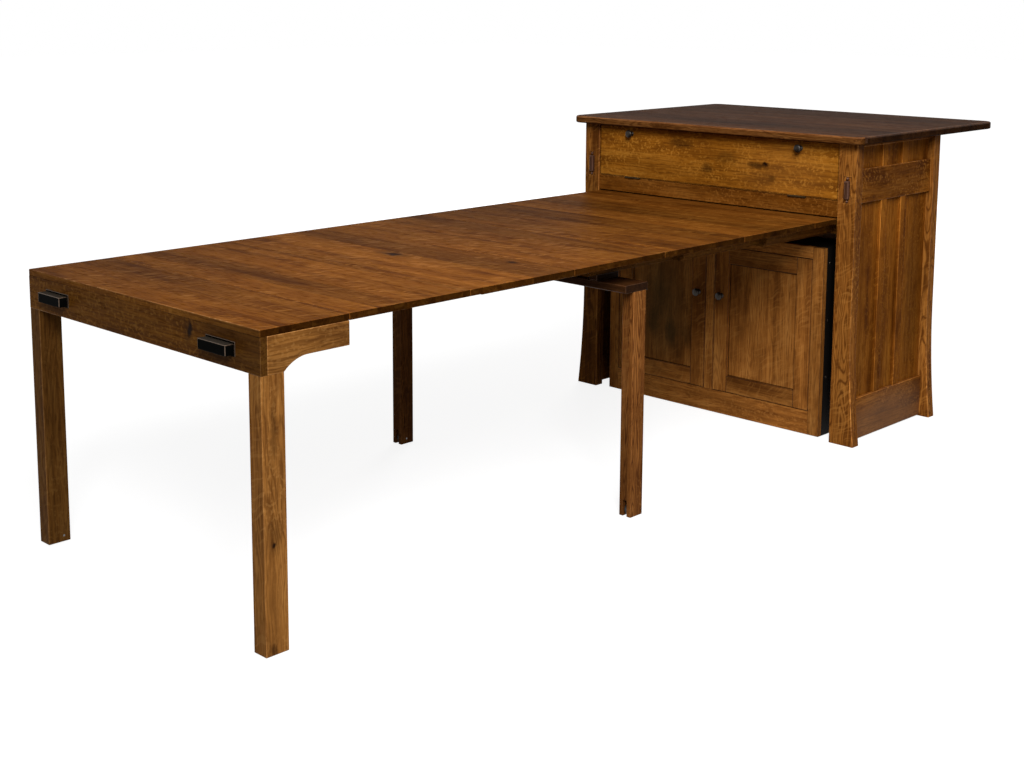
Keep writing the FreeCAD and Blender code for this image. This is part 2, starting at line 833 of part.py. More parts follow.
def build_island():
    """Posts, panels, rails, counter and leaf store."""
    save("island_top", make_top())
    save_both("front_post", make_front_post())
    save_both("back_post", make_post(back_field))
    save_both("side_panel", make_side_panel())
    save_both("side_rails", make_side_rails())
    save("back_panel", make_back_panel())
    save("back_rails", make_back_rails())
    save("post_keys", pair(make_key()))
    save("post_pegs", Part.makeCompound(make_pegs() + [mirrored(peg) for peg in make_pegs()]))
    save("front_rail", make_front_rail())
    save("leaf_store_floor", make_store_floor())
    save("drop_front", make_drop_front())
    save("drop_hinge_fixed_leaves", pair(make_fixed_hinge()))
    save("drop_hinge_moving_leaves", pair(make_moving_hinge()))
    save("drop_front_knobs", pair(make_knob(drop_half - drop_knob_from_end, face_inset,
                                            drop_top - drop_knob_below_top)))


def build_cabinet():
    """The lower cabinet with its face frame and two doors."""
    save_both("cabinet_side", make_cabinet_side())
    save("cabinet_bottom", make_cabinet_shelf(opening_bottom - cabinet_board_thick))
    save("cabinet_top", make_cabinet_shelf(cabinet_top_height - cabinet_board_thick))
    save("cabinet_back", make_cabinet_back())
    save("frame_stiles", pair(make_frame_stile()))
    save("frame_mullion", make_frame_mullion())
    save("frame_rails", Part.makeCompound([make_frame_rail(cabinet_floor_gap, opening_bottom),
                                           make_frame_rail(opening_top, cabinet_top_height)]))
    save_both("door_frame", make_door_frame())
    save_both("door_panel", make_door_panel())
    save_both("door_fittings", make_door_fittings())
    save("slide_bearers", Part.makeCompound(make_bearers()))


def build_table():
    """Boards, slides, end frame, bridge and rollers."""
    for index in range(leaf_count):
        save("leaf_%d" % (index + 1), make_leaf(index))
    save("inner_board", make_inner_board())
    save("end_board", make_board(end_front, end_board_back))
    save("end_apron", make_apron())
    save("end_brackets", pair(make_bracket()))
    save_both("end_leg", make_end_leg())
    save("end_pulls", pair(make_pull()))
    save("end_axles", pair(make_axle(end_leg_x(), end_leg_width / 2, end_wheel_y())))
    save("end_rollers", pair(make_roller(end_leg_x(), end_wheel_y())))
    save("bridge_bar", make_bridge_bar())
    save("bridge_spacers", pair(make_bridge_spacer()))
    save("bridge_legs", pair(make_bridge_leg()))
    save("bridge_axles", pair(make_axle(bridge_leg_x(), bridge_leg_width / 2, bridge_wheel_y())))
    save("bridge_rollers", pair(make_roller(bridge_leg_x(), bridge_wheel_y())))
    for stage in range(slide_stage_count + 1):
        save("slide_stage_%d" % stage, pair(make_slide(stage)))


os.makedirs("parts", exist_ok=True)
build_island()
build_cabinet()
build_table()
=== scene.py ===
"""Dresses a kitchen island with an extending table: quarter-sawn oak, blackened fittings and a studio."""

import json
from functools import partial
from math import cos, pi, radians, sin
from typing import NamedTuple

import bmesh
import bpy
import numpy as np
from mathutils import Matrix, Vector

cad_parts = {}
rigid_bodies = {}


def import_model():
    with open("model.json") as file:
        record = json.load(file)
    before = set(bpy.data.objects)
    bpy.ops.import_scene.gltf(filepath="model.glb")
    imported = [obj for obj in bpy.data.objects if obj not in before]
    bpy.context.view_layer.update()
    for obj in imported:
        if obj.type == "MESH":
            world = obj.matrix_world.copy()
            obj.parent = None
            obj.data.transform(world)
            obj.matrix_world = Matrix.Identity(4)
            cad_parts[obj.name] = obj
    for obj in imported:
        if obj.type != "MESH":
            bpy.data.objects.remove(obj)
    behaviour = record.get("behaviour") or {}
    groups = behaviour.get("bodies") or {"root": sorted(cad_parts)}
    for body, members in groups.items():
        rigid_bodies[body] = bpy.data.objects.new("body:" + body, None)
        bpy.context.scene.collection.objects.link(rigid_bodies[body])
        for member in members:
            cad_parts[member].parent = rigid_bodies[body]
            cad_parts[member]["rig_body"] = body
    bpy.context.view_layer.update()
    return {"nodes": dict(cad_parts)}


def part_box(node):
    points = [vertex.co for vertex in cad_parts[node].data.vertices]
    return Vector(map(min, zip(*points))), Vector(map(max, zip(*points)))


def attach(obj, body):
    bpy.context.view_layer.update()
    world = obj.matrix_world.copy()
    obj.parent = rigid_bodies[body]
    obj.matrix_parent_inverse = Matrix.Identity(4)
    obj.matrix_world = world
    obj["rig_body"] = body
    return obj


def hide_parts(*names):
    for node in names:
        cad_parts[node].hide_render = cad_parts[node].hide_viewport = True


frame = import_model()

bl_info = {
    "name": "Kitchen island with an extending table",
    "version": (1, 0, 0),
    "blender": (4, 5, 0),
    "location": "3D View > Sidebar > Island",
    "description": "Dresses the island's solids in stained oak, blackened metal and a plain studio",
    "category": "Add Mesh",
}

MM = 0.001


def to_linear(hex_colour):
    """An sRGB hex colour as linear RGB with alpha 1."""
    parts = np.array([int(hex_colour[i:i + 2], 16) for i in (1, 3, 5)]) / 255
    linear = np.where(parts <= 0.04045, parts / 12.92, ((parts + 0.055) / 1.055) ** 2.4)
    return (*linear.tolist(), 1.0)


def colour_property(name, hex_colour, description):
    """A colour that a user can change, with its default from sRGB hex."""
    return bpy.props.FloatVectorProperty(name=name, description=description, subtype="COLOR", size=4,
                                         min=0, max=1, default=to_linear(hex_colour))


def size_property(name, metres, description):
    """A length that a user can change."""
    return bpy.props.FloatProperty(name=name, description=description, unit="LENGTH", min=0,
                                   default=metres)


def power_property(name, watts, description):
    """A lamp's power that a user can change."""
    return bpy.props.FloatProperty(name=name, description=description, unit="POWER", min=0,
                                   default=watts)


class ISLAND_PG_oak(bpy.types.PropertyGroup):
    """Main stain of each group of boards; pores are darker and rays paler by fixed shares."""
    top: colour_property("Table top", "#734213", "Seven boards of the table top")
    leg: colour_property("Right end leg", "#8f5e2b", "Right end leg and the brackets")
    # Painted shade: the right leg's oak, darker, as the light falls off towards the left end.
    far_leg: colour_property("Left end leg", "#6e471d", "Left end leg, which took more stain")
    bridge: colour_property("Bridge", "#875325", "Legs of the bridge")
    apron: colour_property("Apron", "#754817", "End apron and slides")
    bar: colour_property("Bridge bar", "#381f0c", "Bar and spacers of the bridge")
    post: colour_property("Posts", "#955b22", "Four posts of the island")
    key: colour_property("Keys", "#4a3022", "Upright keys and square pegs in the posts")
    side: colour_property("Island sides", "#824b14", "Panels and rails of the sides and back")
    door: colour_property("Doors", "#a7692d", "Doors and face frame of the cabinet")
    drop: colour_property("Drop front", "#905815", "Front of the leaf store")
    counter: colour_property("Counter", "#462810", "Counter, which has a darker stain")


class ISLAND_PG_fittings(bpy.types.PropertyGroup):
    """Colours of the fittings and of the boards that aren't figured oak."""
    # Black stain on the cabinet's sides; on its top, painted shade.
    black_stain: colour_property("Black boards", "#14110f", "Black boards of the cabinet")
    plain_board: colour_property("Inside boards", "#7a5227", "Boards inside the island")
    blackened: colour_property("Blackened metal", "#070706", "Pulls")
    # The pulls' upper edges: bare metal, partly wear and partly a painted highlight.
    rubbed: colour_property("Rubbed edge", "#5b4a3c", "Bare metal where hands rub the pulls")
    # Painted sheen: the pulls' tops paler, as light from above would make them.
    worn: colour_property("Worn top", "#241f19", "Top of the pulls, which hands have dulled")
    bronze: colour_property("Bronzed hinges", "#3c2d1a", "Butt hinges of the drop front")
    knob: colour_property("Bronzed knobs", "#2e2925", "Knobs, and the doors' pins")
    zinc: colour_property("Zinc", "#453a31", "Screw heads of the cabinet")
    steel: colour_property("Steel", "#6c6c6c", "Axles")
    roller: colour_property("Roller", "#2b2b2b", "Nylon rollers in the feet")


class ISLAND_PG_sizes(bpy.types.PropertyGroup):
    """Sizes that change the look of the boards but not the island's dimensions."""
    counter_round: size_property("Counter edge", 6 * MM, "Radius of the counter's rounded edge")
    counter_corner: size_property("Counter corner", 34 * MM, "Radius of its corners in plan")
    arris: size_property("Arris", 1.8 * MM, "Radius to which the boards' edges are sanded")
    joint_arris: size_property("Joint arris", 0.9 * MM, "Radius of edges where table boards meet")
    flush_arris: size_property("Flush arris", 1.1 * MM, "Radius of edges that meet flush in the doors")
    strip: size_property("Glued strip", 92 * MM, "Width of the strips that make a wide board")


class ISLAND_PG_studio(bpy.types.PropertyGroup):
    """Light and background."""
    background: colour_property("Background", "#ffffff", "Floor and backdrop as the camera sees them")
    floor_tone: colour_property("Floor", "#9a9a9a", "Floor as it lights the object from below")
    key_power: power_property("Key light", 295, "Power of the soft light in front at the right")
    top_power: power_property("Top light", 55, "Power of the soft light over the table")
    back_power: power_property("Back light", 150, "Power of the soft light behind at the left")
    fill: bpy.props.FloatProperty(name="Fill", description="Strength of the light from all round",
                                  min=0, default=0.17)


# The two axes across each axis, in the order that turns faces outwards.
ACROSS = {0: (1, 2), 1: (2, 0), 2: (0, 1)}
# Points on each rounded arris, and steps round each corner of an outline.
ARC_STEPS = 4
# A board's corners in plan, as a multiple of its arris.
PLAN_ROUNDING = 1.3
# Metres of tree from which each board's grain is cut, so that no two boards match.
TREE_SPAN = 40
# Change of normal within a quad from which it counts as rounded.
ROUNDED_TURN = 0.01
WELD = 0.001 * MM
FLAT_ANGLE = radians(0.2)
ARRIS_ANGLE = radians(30)
# Parts of a unit normal from which a face counts as looking down, up or forwards.
DOWNWARDS, UPWARDS, FORWARDS, UPRIGHT = -0.1, 0.9, -0.3, 0.1


class Shell(NamedTuple):
    """A closed surface as rings of points, with what its oak needs to know at each of them."""
    points: np.ndarray
    normals: np.ndarray
    grain: np.ndarray
    end_grain: np.ndarray


def softened(corners, radius):
    """A polygon's outline with its corners as arcs, and the outward normal at each point.

    Round each corner the normal turns evenly from one side's to the next side's. A point lies one radius
    along it from the arc's centre, which is inside the outline at a convex corner and outside it at a
    hollow one.
    """
    corners = np.asarray(corners, float)
    side = np.roll(corners, -1, 0) - corners
    side /= np.linalg.norm(side, axis=1, keepdims=True)
    before = np.roll(side, 1, 0)
    turn = np.arctan2(before[:, 0] * side[:, 1] - before[:, 1] * side[:, 0], (before * side).sum(1))
    start = np.arctan2(-before[:, 0], before[:, 1])
    angle = start[:, None] + turn[:, None] * np.linspace(0, 1, ARC_STEPS + 1)
    normal = np.stack([np.cos(angle), np.sin(angle)], -1)
    reach = np.sign(turn) * radius
    centre = corners - (reach / (1 + np.cos(turn)))[:, None] * (normal[:, 0] + normal[:, -1])
    points = centre[:, None] + reach[:, None, None] * normal
    return points.reshape(-1, 2), normal.reshape(-1, 2)


def with_grain(points, normals, along, thick, seed):
    """A shell whose oak runs along one axis.

    Grain coordinates are along the grain, across the face and through the thickness, from a random place
    in the tree. End grain is how squarely a point faces along the grain.
    """
    start = np.random.default_rng(seed).uniform(0, TREE_SPAN, 3)
    grain = points[..., [along, 3 - along - thick, thick]] + start
    return Shell(points, normals, grain, np.abs(normals[..., along]))


def plate(corners, axis, low, high, arris, along, seed, corner_radius=None):
    """A board cut to an outline, with rounded arrises.

    One parameter runs round the outline and the other climbs over the edge: a quarter circle out of the
    lower face, the straight wall, and a quarter circle into the upper face. The point is the outline's,
    moved in along its normal by what the quarter circle has left, at the height that the circle gives.
    """
    outline, facing = softened(corners, corner_radius or arris * PLAN_ROUNDING)
    quarter = np.linspace(-pi / 2, 0, ARC_STEPS)
    climb = np.concatenate([quarter, -quarter[::-1]])
    inset = arris * (1 - np.cos(climb))
    height = np.where(np.arange(len(climb)) < ARC_STEPS, low + arris, high - arris) + arris * np.sin(climb)
    points = np.empty((len(climb), len(outline), 3))
    normals = np.empty_like(points)
    points[..., ACROSS[axis]] = outline - inset[:, None, None] * facing
    points[..., axis] = height[:, None]
    normals[..., ACROSS[axis]] = np.cos(climb)[:, None, None] * facing
    normals[..., axis] = np.sin(climb)[:, None]
    return with_grain(points, normals, along, axis, seed)


def rectangle(low, high, axis):
    """Corners of a box's outline as seen along one axis."""
    u, v = ACROSS[axis]
    return [(low[u], low[v]), (high[u], low[v]), (high[u], high[v]), (low[u], high[v])]


def board(low, high, along, seed, arris, thick=None):
    """A straight board between two corners, as a plate with a rectangle for its outline."""
    low, high = np.array(low), np.array(high)
    axis = int(np.argmin(high - low)) if thick is None else thick
    return plate(rectangle(low, high, axis), axis, low[axis], high[axis], arris, along, seed)


def turned(profile, centre, forwards=(0, -1, 0), steps=40):
    """A turned piece that stands out from a point: a profile of radius and distance round its axis.

    The normal is the profile's own, square to the run between its neighbours, turned with the point.
    """
    radius, out = np.asarray(profile, float).T
    along = np.gradient(np.stack([radius, out]), axis=1)
    along /= np.linalg.norm(along, axis=0)
    angle = np.linspace(0, 2 * pi, steps, endpoint=False)[:, None]
    up, forwards = np.array([0, 0, 1]), np.asarray(forwards)
    circle = np.cos(angle) * np.cross(up, forwards) + np.sin(angle) * up
    points = np.asarray(centre) + radius[:, None, None] * circle + out[:, None, None] * forwards
    normals = along[1][:, None, None] * circle - along[0][:, None, None] * forwards
    return with_grain(points, normals, 1, 2, 0)


def upright(profile, foot, steps=16):
    """A round rod that stands on a point: its profile of radius and height round a vertical axis."""
    radius, height = np.asarray(profile, float).T
    angle = np.linspace(0, 2 * pi, steps, endpoint=False)
    circle = np.stack([np.cos(angle), np.sin(angle), np.zeros(steps)], -1)
    up = np.array([0, 0, 1])
    points = np.asarray(foot) + radius[:, None, None] * circle + height[:, None, None] * up
    return with_grain(points, np.broadcast_to(circle, points.shape), 2, 0, 0)


def make_mesh(name, shells):
    """One mesh from shells: rings joined by quads, with a flat face over the first and the last ring.

    A quad whose corners' normals differ is part of a rounded arris and takes the second material.
    """
    faces, rounded, start = [], [], 0
    for shell in shells:
        rows, columns = shell.points.shape[:2]
        index = np.arange(rows * columns).reshape(rows, columns)
        ahead = np.roll(index, -1, 1)
        quads = np.stack([index[:-1], ahead[:-1], ahead[1:], index[1:]], -1).reshape(-1, 4)
        corners = shell.normals.reshape(-1, 3)[quads]
        turn = np.linalg.norm(corners - corners[:, :1], axis=2).max(1)
        rounded += (turn > ROUNDED_TURN).astype(int).tolist() + [0, 0]
        faces += [*(quads + start).tolist(), (index[0, ::-1] + start).tolist(), (index[-1] + start).tolist()]
        start += rows * columns
    points, normals, grain = (np.concatenate([getattr(shell, part).reshape(-1, 3) for shell in shells])
                              for part in ("points", "normals", "grain"))
    end_grain = np.concatenate([shell.end_grain.ravel() for shell in shells])
    mesh = bpy.data.meshes.new(name)
    mesh.from_pydata(points.tolist(), [], faces)
    mesh.polygons.foreach_set("use_smooth", np.ones(len(faces), bool))
    mesh.polygons.foreach_set("material_index", rounded)
    mesh.normals_split_custom_set_from_vertices(normals.tolist())
    mesh.attributes.new("grain", "FLOAT_VECTOR", "POINT").data.foreach_set("vector", grain.ravel())
    mesh.attributes.new("end_grain", "FLOAT", "POINT").data.foreach_set("value", end_grain)
    return mesh


def read(collection, key, width=1, kind=float):
    """One property of a mesh's vertices, edges, loops or faces as an array."""
    found = np.empty(len(collection) * width, kind)
    collection.foreach_get(key, found)
    return found.reshape(-1, width) if width > 1 else found


def outer_arrises(mesh):
    """True for each edge at which two faces turn away from each other by more than ARRIS_ANGLE.

    With the edge run along in the first face's sense, the cross product of the two faces' normals points
    forwards at an outer arris and backwards in a hollow corner.
    """
    edge_of, start = (read(mesh.loops, key, kind=int) for key in ("edge_index", "vertex_index"))
    ends, places = read(mesh.edges, "vertices", 2, int), read(mesh.vertices, "co", 3)
    corners, normals = read(mesh.polygons, "loop_total", kind=int), read(mesh.polygons, "normal", 3)
    face_of = np.repeat(np.arange(len(corners)), corners)
    order = np.argsort(edge_of, kind="stable")
    paired = np.flatnonzero(np.bincount(edge_of, minlength=len(mesh.edges)) == 2)
    first = np.searchsorted(edge_of[order], paired)
    one, two = order[first], order[first + 1]
    other = np.where(ends[paired, 0] == start[one], ends[paired, 1], ends[paired, 0])
    run = places[other] - places[start[one]]
    turn = np.cross(normals[face_of[one]], normals[face_of[two]])
    found = np.zeros(len(mesh.edges), bool)
    found[paired] = ((turn * run).sum(1) > 0) & (np.linalg.norm(turn, axis=1) > sin(ARRIS_ANGLE))
    return found


def sanded(node, materials, arris, ceiling=None):
    """A copy of a CAD node with its outer arrises sanded round, in place of the node.

    The copy's loose triangles are welded and those in one plane joined. A bevel then rounds the outer
    arrises only, and its strips take the second material. Edges at the ceiling's height meet another
    board and stay sharp.
    """
    shape = bmesh.new()
    shape.from_mesh(frame["nodes"][node].data)
    bmesh.ops.remove_doubles(shape, verts=shape.verts, dist=WELD)
    bmesh.ops.dissolve_limit(shape, angle_limit=FLAT_ANGLE, verts=shape.verts, edges=shape.edges)
    name = node + "_sanded"
    mesh = bpy.data.meshes.new(name)
    shape.to_mesh(mesh)
    shape.free()
    mesh.polygons.foreach_set("use_smooth", np.ones(len(mesh.polygons), bool))
    mesh.polygons.foreach_set("material_index", np.zeros(len(mesh.polygons), int))
    mesh.set_sharp_from_angle(angle=ARRIS_ANGLE)
    outer = outer_arrises(mesh)
    if ceiling is not None:
        heights = read(mesh.vertices, "co", 3)[:, 2]
        outer &= heights[read(mesh.edges, "vertices", 2, int)].min(1) < ceiling - WELD
    weight = mesh.attributes.new("bevel_weight_edge", "FLOAT", "EDGE")
    weight.data.foreach_set("value", outer.astype(float))
    piece = place(name, mesh, materials, node)
    bevel = piece.modifiers.new("arrises", "BEVEL")
    bevel.limit_method = "WEIGHT"
    bevel.width = arris
    bevel.segments = 2
    bevel.harden_normals = True
    bevel.material = 1


def place(name, mesh, materials, node, replaced=True):
    """Puts a new piece on a CAD node's body, with the given materials, and in place of the node unless told
    not.
    """
    piece = bpy.data.objects.new(name, mesh)
    bpy.context.scene.collection.objects.link(piece)
    for material in materials:
        mesh.materials.append(material)
    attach(piece, frame["nodes"][node]["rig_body"])
    if replaced:
        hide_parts(node)
    return piece


def part_front(mesh, wall=None, arris=None, top=None):
    """Shares faces out among more slots by the way that they look.

    The lower arrises take the faces' slot, so that the painted highlight of the arris slot stays on the
    edges that face the light. Where other slots are given, the top moves to one, the wall that looks
    forwards to another and that wall's upper arris to a third.
    """
    facing, index = read(mesh.polygons, "normal", 3), read(mesh.polygons, "material_index", kind=int)
    index[facing[:, 2] < DOWNWARDS] = 0
    if top:
        index[facing[:, 2] > UPWARDS] = top
    if wall:
        forwards = facing[:, 1] < FORWARDS
        index[forwards & (facing[:, 2] < UPRIGHT)] = wall
        index[forwards & (facing[:, 2] >= UPRIGHT)] = arris
    mesh.polygons.foreach_set("material_index", index)


def box_of(node):
    """Lowest and highest corner of a CAD node as arrays."""
    low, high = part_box(node)
    return np.array(low), np.array(high)


def solids_of(node):
    """Lowest and highest corner of each separate solid in a node.

    Corners at one place count as one point. Every triangle then passes its lowest group number on to its
    three corners until no number changes, so that each solid ends with a number of its own.
    """
    mesh = frame["nodes"][node].data
    points, corners = read(mesh.vertices, "co", 3), read(mesh.polygons, "vertices", 3, int)
    same = np.unique(np.round(points / WELD), axis=0, return_inverse=True)[1].ravel()[corners]
    group, before = np.arange(same.max() + 1), None
    while before is None or (group != before).any():
        before = group.copy()
        lowest = group[same].min(1, keepdims=True)
        np.minimum.at(group, same, np.broadcast_to(lowest, same.shape))
    owner = group[same[:, 0]]
    solids = [points[corners[owner == one]].reshape(-1, 3) for one in np.unique(owner)]
    return [(solid.min(0), solid.max(0)) for solid in solids]


def add_node(tree, kind, inputs=(), **settings):
    """Adds a shader node, sets its settings, and fills its inputs.

    The inputs are a list in their order, or a dict by name or number, of values, sockets or other nodes,
    whose first output is then meant.
    """
    made = tree.nodes.new("ShaderNode" + kind)
    for key, value in settings.items():
        setattr(made, key, value)
    for key, value in inputs.items() if isinstance(inputs, dict) else enumerate(inputs):
        if isinstance(value, bpy.types.Node):
            value = value.outputs[0]
        if isinstance(value, bpy.types.NodeSocket):
            tree.links.new(value, made.inputs[key])
        else:
            made.inputs[key].default_value = value
    return made


def empty_tree(owner):
    """The node tree of a material or world, cleared."""
    owner.use_nodes = True
    owner.node_tree.nodes.clear()
    return owner.node_tree


SMOOTH = {"interpolation_type": "SMOOTHSTEP"}
TIMES = {"operation": "MULTIPLY"}
TIMES_PLUS = {"operation": "MULTIPLY_ADD"}
# Lowest and highest value that noise usually takes.
NOISE_RANGE = (0.3, 0.7)
# How far apart in the tree two glued strips may lie, and how far grain drifts and flames across itself.
STRIP_JUMP = (9, 9, 9)
GRAIN_DRIFT = (0, 16 * MM, 16 * MM)
GRAIN_FLAME = (0, 8 * MM, 8 * MM)
# Ray flecks lie aslant to the grain and wave by up to this much.
RAY_SLANT = radians(-62)
RAY_WAVE = (34 * MM, 34 * MM, 0)
OAK_RELIEF = {"Strength": 0.25, "Distance": 0.3 * MM}
PLAIN_RELIEF = {"Strength": 0.2, "Distance": 0.2 * MM}
# Share of its roughness by which a plain finish wavers.
ROUGHNESS_SPREAD = 0.15


def make_oak_figure():
    """The figure of quarter-sawn white oak under a wiping stain, as a node group.

    Wiping stain stays in the open pores, so they are dark lines along the grain, and the hard medullary
    rays take little of it, so they are pale flecks that cross the grain. Glued strips differ in tone.
    """
    group = bpy.data.node_groups.new("oak_figure", "ShaderNodeTree")
    for way, kind, names in (
            ("INPUT", "Vector", ("Grain",)),
            ("INPUT", "Float", ("End grain", "End tone", "Strip", "Fleck", "Flame", "Stripe", "Rings",
                                "Ring count", "Cloud", "Contrast")),
            ("INPUT", "Color", ("Dark", "Mid", "Light")),
            ("OUTPUT", "Color", ("Color",)),
            ("OUTPUT", "Float", ("Roughness", "Height"))):
        for name in names:
            group.interface.new_socket(name, in_out=way, socket_type="NodeSocket" + kind)
    given = group.nodes.new("NodeGroupInput").outputs
    result = group.nodes.new("NodeGroupOutput")
    node = partial(add_node, group)

    def cells(source, along_mm, across_mm, detail=1, roughness=0.55):
        """Noise whose cells are so long along the grain and so wide across it."""
        scale = (1000 / along_mm, 1000 / across_mm, 1000 / across_mm)
        scaled = node("VectorMath", [source, scale], **TIMES)
        return node("TexNoise", {"Vector": scaled, "Scale": 1, "Detail": detail, "Roughness": roughness})

    # Each glued strip comes from another place in the tree, and its grain drifts and flames off straight.
    across = node("SeparateXYZ", [given["Grain"]]).outputs[1]
    number = node("Math", [node("Math", [across, given["Strip"]], operation="DIVIDE")], operation="FLOOR")
    strip = node("TexWhiteNoise", {"W": number}, noise_dimensions="1D")
    spot = node("VectorMath", [strip.outputs["Color"], STRIP_JUMP, given["Grain"]], **TIMES_PLUS)
    drift = cells(given["Grain"], 420, 70, 2).outputs["Color"]
    bent = node("VectorMath", [drift, GRAIN_DRIFT, spot], **TIMES_PLUS)
    flame = node("VectorMath", {0: GRAIN_FLAME, "Scale": given["Flame"]}, operation="SCALE")
    bent = node("VectorMath", [cells(given["Grain"], 75, 50).outputs["Color"], flame, bent], **TIMES_PLUS)

    # Growth shows as soft bands, streaks and thin lines. Rings are 3 mm apart, too fine to show from the
    # camera, so each line that is drawn stands for several.
    bands = node("MapRange", [cells(bent, 700, 45, 3), *NOISE_RANGE], **SMOOTH)
    streaks = node("MapRange", [cells(bent, 300, 7, 4, 0.65), 0.3, 0.72], **SMOOTH)
    lines = node("MapRange", [cells(bent, 1500, 5.5), 0.5, 0.62], **SMOOTH)
    contour = node("Math", [cells(bent, 430, 40, 0), given["Ring count"]], **TIMES)
    contour = node("Math", [contour, 0.5], operation="PINGPONG")
    rings = node("MapRange", [contour, 0.2, 0.5, 0, given["Rings"]], **SMOOTH)

    # Pores are 0.3 mm wide, too fine to show, so they are drawn 3 mm wide and fainter.
    pores = node("MapRange", [cells(bent, 44, 3), 0.53, 0.7], **SMOOTH)
    blotches = cells(given["Grain"], 140, 80, 3)

    # Ray flecks lie in zones, wavy and aslant to the grain. They are drawn at about twice their real width.
    tilted = node("Mapping", {"Vector": spot, "Rotation": (0, 0, RAY_SLANT)}, vector_type="POINT")
    tilted = node("VectorMath", [cells(spot, 90, 45).outputs["Color"], RAY_WAVE, tilted], **TIMES_PLUS)
    flecks = node("MapRange", [cells(tilted, 64, 9, 1, 0.5), 0.52, 0.66], **SMOOTH)
    zones = node("MapRange", [cells(spot, 240, 70, 2), 0.4, 0.6, 0.25, 1], **SMOOTH)
    for share in (zones, given["Fleck"]):
        flecks = node("Math", [flecks, share], **TIMES)

    # The stain's depth is 0.5 where it is even, lower where it is darker and higher where it is paler.
    tone = 0
    for pattern, weight in ((bands, 0.5), (streaks, given["Stripe"]), (blotches, given["Cloud"])):
        centred = node("Math", [pattern, 0.5], operation="SUBTRACT")
        tone = node("Math", [centred, weight, tone], **TIMES_PLUS)
    tone = node("Math", [tone, given["Contrast"], 0.5], **TIMES_PLUS)
    lined = node("Math", [lines, given["Stripe"]], **TIMES)
    colour = given["Mid"]
    for share, stain in ((node("MapRange", [tone, 0, 0.5, 1, 0]), "Dark"),
                         (node("MapRange", [tone, 0.5, 1, 0, 0.7]), "Light"),
                         (node("Math", [lined, 1.5], **TIMES), "Dark"),
                         (rings, "Dark"),
                         (node("Math", [pores, 0.6], **TIMES), "Dark"),
                         (flecks, "Light")):
        colour = node("Mix", {0: share, 6: colour, 7: given[stain]}, data_type="RGBA").outputs[2]

    # Strips and long stretches of a board differ in value, and end grain drinks more stain.
    value = node("MapRange", [strip.outputs["Value"], 0, 1, 0.8, 1.16], **SMOOTH)
    stretches = cells(given["Grain"], 700, 160, 2)
    for share in (node("MapRange", [stretches, *NOISE_RANGE, 0.84, 1.12], **SMOOTH),
                  node("MapRange", [given["End grain"], 0.6, 0.95, 1, given["End tone"]], **SMOOTH)):
        value = node("Math", [value, share], **TIMES)
    colour = node("VectorMath", {0: colour, "Scale": value}, operation="SCALE")
    rough = node("MapRange", [pores, 0, 1, 0.5, 0.68], **SMOOTH)
    rough = node("Math", [flecks, -0.1, rough], **TIMES_PLUS)
    sunk = node("Math", [pores, -1], **TIMES)
    height = node("Math", [streaks, 0.35, sunk], **TIMES_PLUS)
    for name, source in (("Color", colour), ("Roughness", rough), ("Height", height)):
        group.links.new(source.outputs[0], result.inputs[name])


# Mark colours: a knot's near-black, painted shade, a grey painted sheen, a smoky olive tint, and a golden
# painted light.
KNOT = "#1c0d05"
SHADE = "#120a05"
PAINTED_SHEEN = "#8f6f58"
SMOKE_AND_SHADE_TINT = "#6b5a38"
PAINTED_LIGHT = "#a87034"
# A mark is full up to this share of its reach. Its edge is ragged by noise of this cell size, which moves
# it by up to half the shift.
MARK_CORE = 0.25
MARK_CELL = 25 * MM
MARK_SHIFT = 24 * MM
# Painted shade along a panel's or front's edge in its frame: how far it reaches and how dark it is.
SHADE_LINE_REACH = 4 * MM
SHADE_LINE_STRENGTH = 0.75
NODE_SEEDS = 1000
# Shares of the main stain, as red, green, blue and alpha: in pores and rays; on arrises, as rubbed wear with
# a painted highlight; as painted shade between a door and its frame; and as painted light on the fronts of
# the counter and the table's end board.
PORE_SHARE = np.array([0.36, 0.30, 0.27, 1.0])
PALE_RAYS = np.array([1.5, 1.75, 2.2, 1.0])
GOLDEN_RAYS = np.array([1.6, 1.9, 3.0, 1.0])
# Arrises: rubbed wear with a painted highlight.
RUBBED_AND_HIGHLIT = np.array([1.7, 1.8, 2.0, 1.0])
# Table top arrises: wear with a painted highlight.
WORN_AND_HIGHLIT = np.array([1.3, 1.3, 1.4, 1.0])
# Door arrises: painted shade in the gaps round doors and panels.
SHADED = np.array([0.3, 0.28, 0.26, 1.0])
# Counter front: painted light on its wall and a painted highlight on its upper arris.
PAINTED_FRONT_LIGHT = np.array([2.1, 2.2, 2.0, 1.0])
PAINTED_FRONT_HIGHLIGHT = np.array([3.7, 4.0, 4.4, 1.0])
# Table end board's upper front arris: wear with a painted highlight.
BOARD_ARRIS_WEAR_AND_HIGHLIGHT = np.array([1.75, 2.3, 5.5, 1.0])


class Finish(NamedTuple):
    """How one stain looks: its colour, and how much of each part of the figure it shows."""
    colour: str
    rays: np.ndarray = PALE_RAYS
    arris: np.ndarray = RUBBED_AND_HIGHLIT
    fleck: float = 0.5
    flame: float = 0.5
    stripe: float = 0.3
    rings: float = 0.15
    ring_count: float = 12.0
    cloud: float = 0.6
    contrast: float = 1.0
    strip: float = 20.0
    gloss: float = 0.02
    end_tone: float = 0.5
    shine: float = 8.0


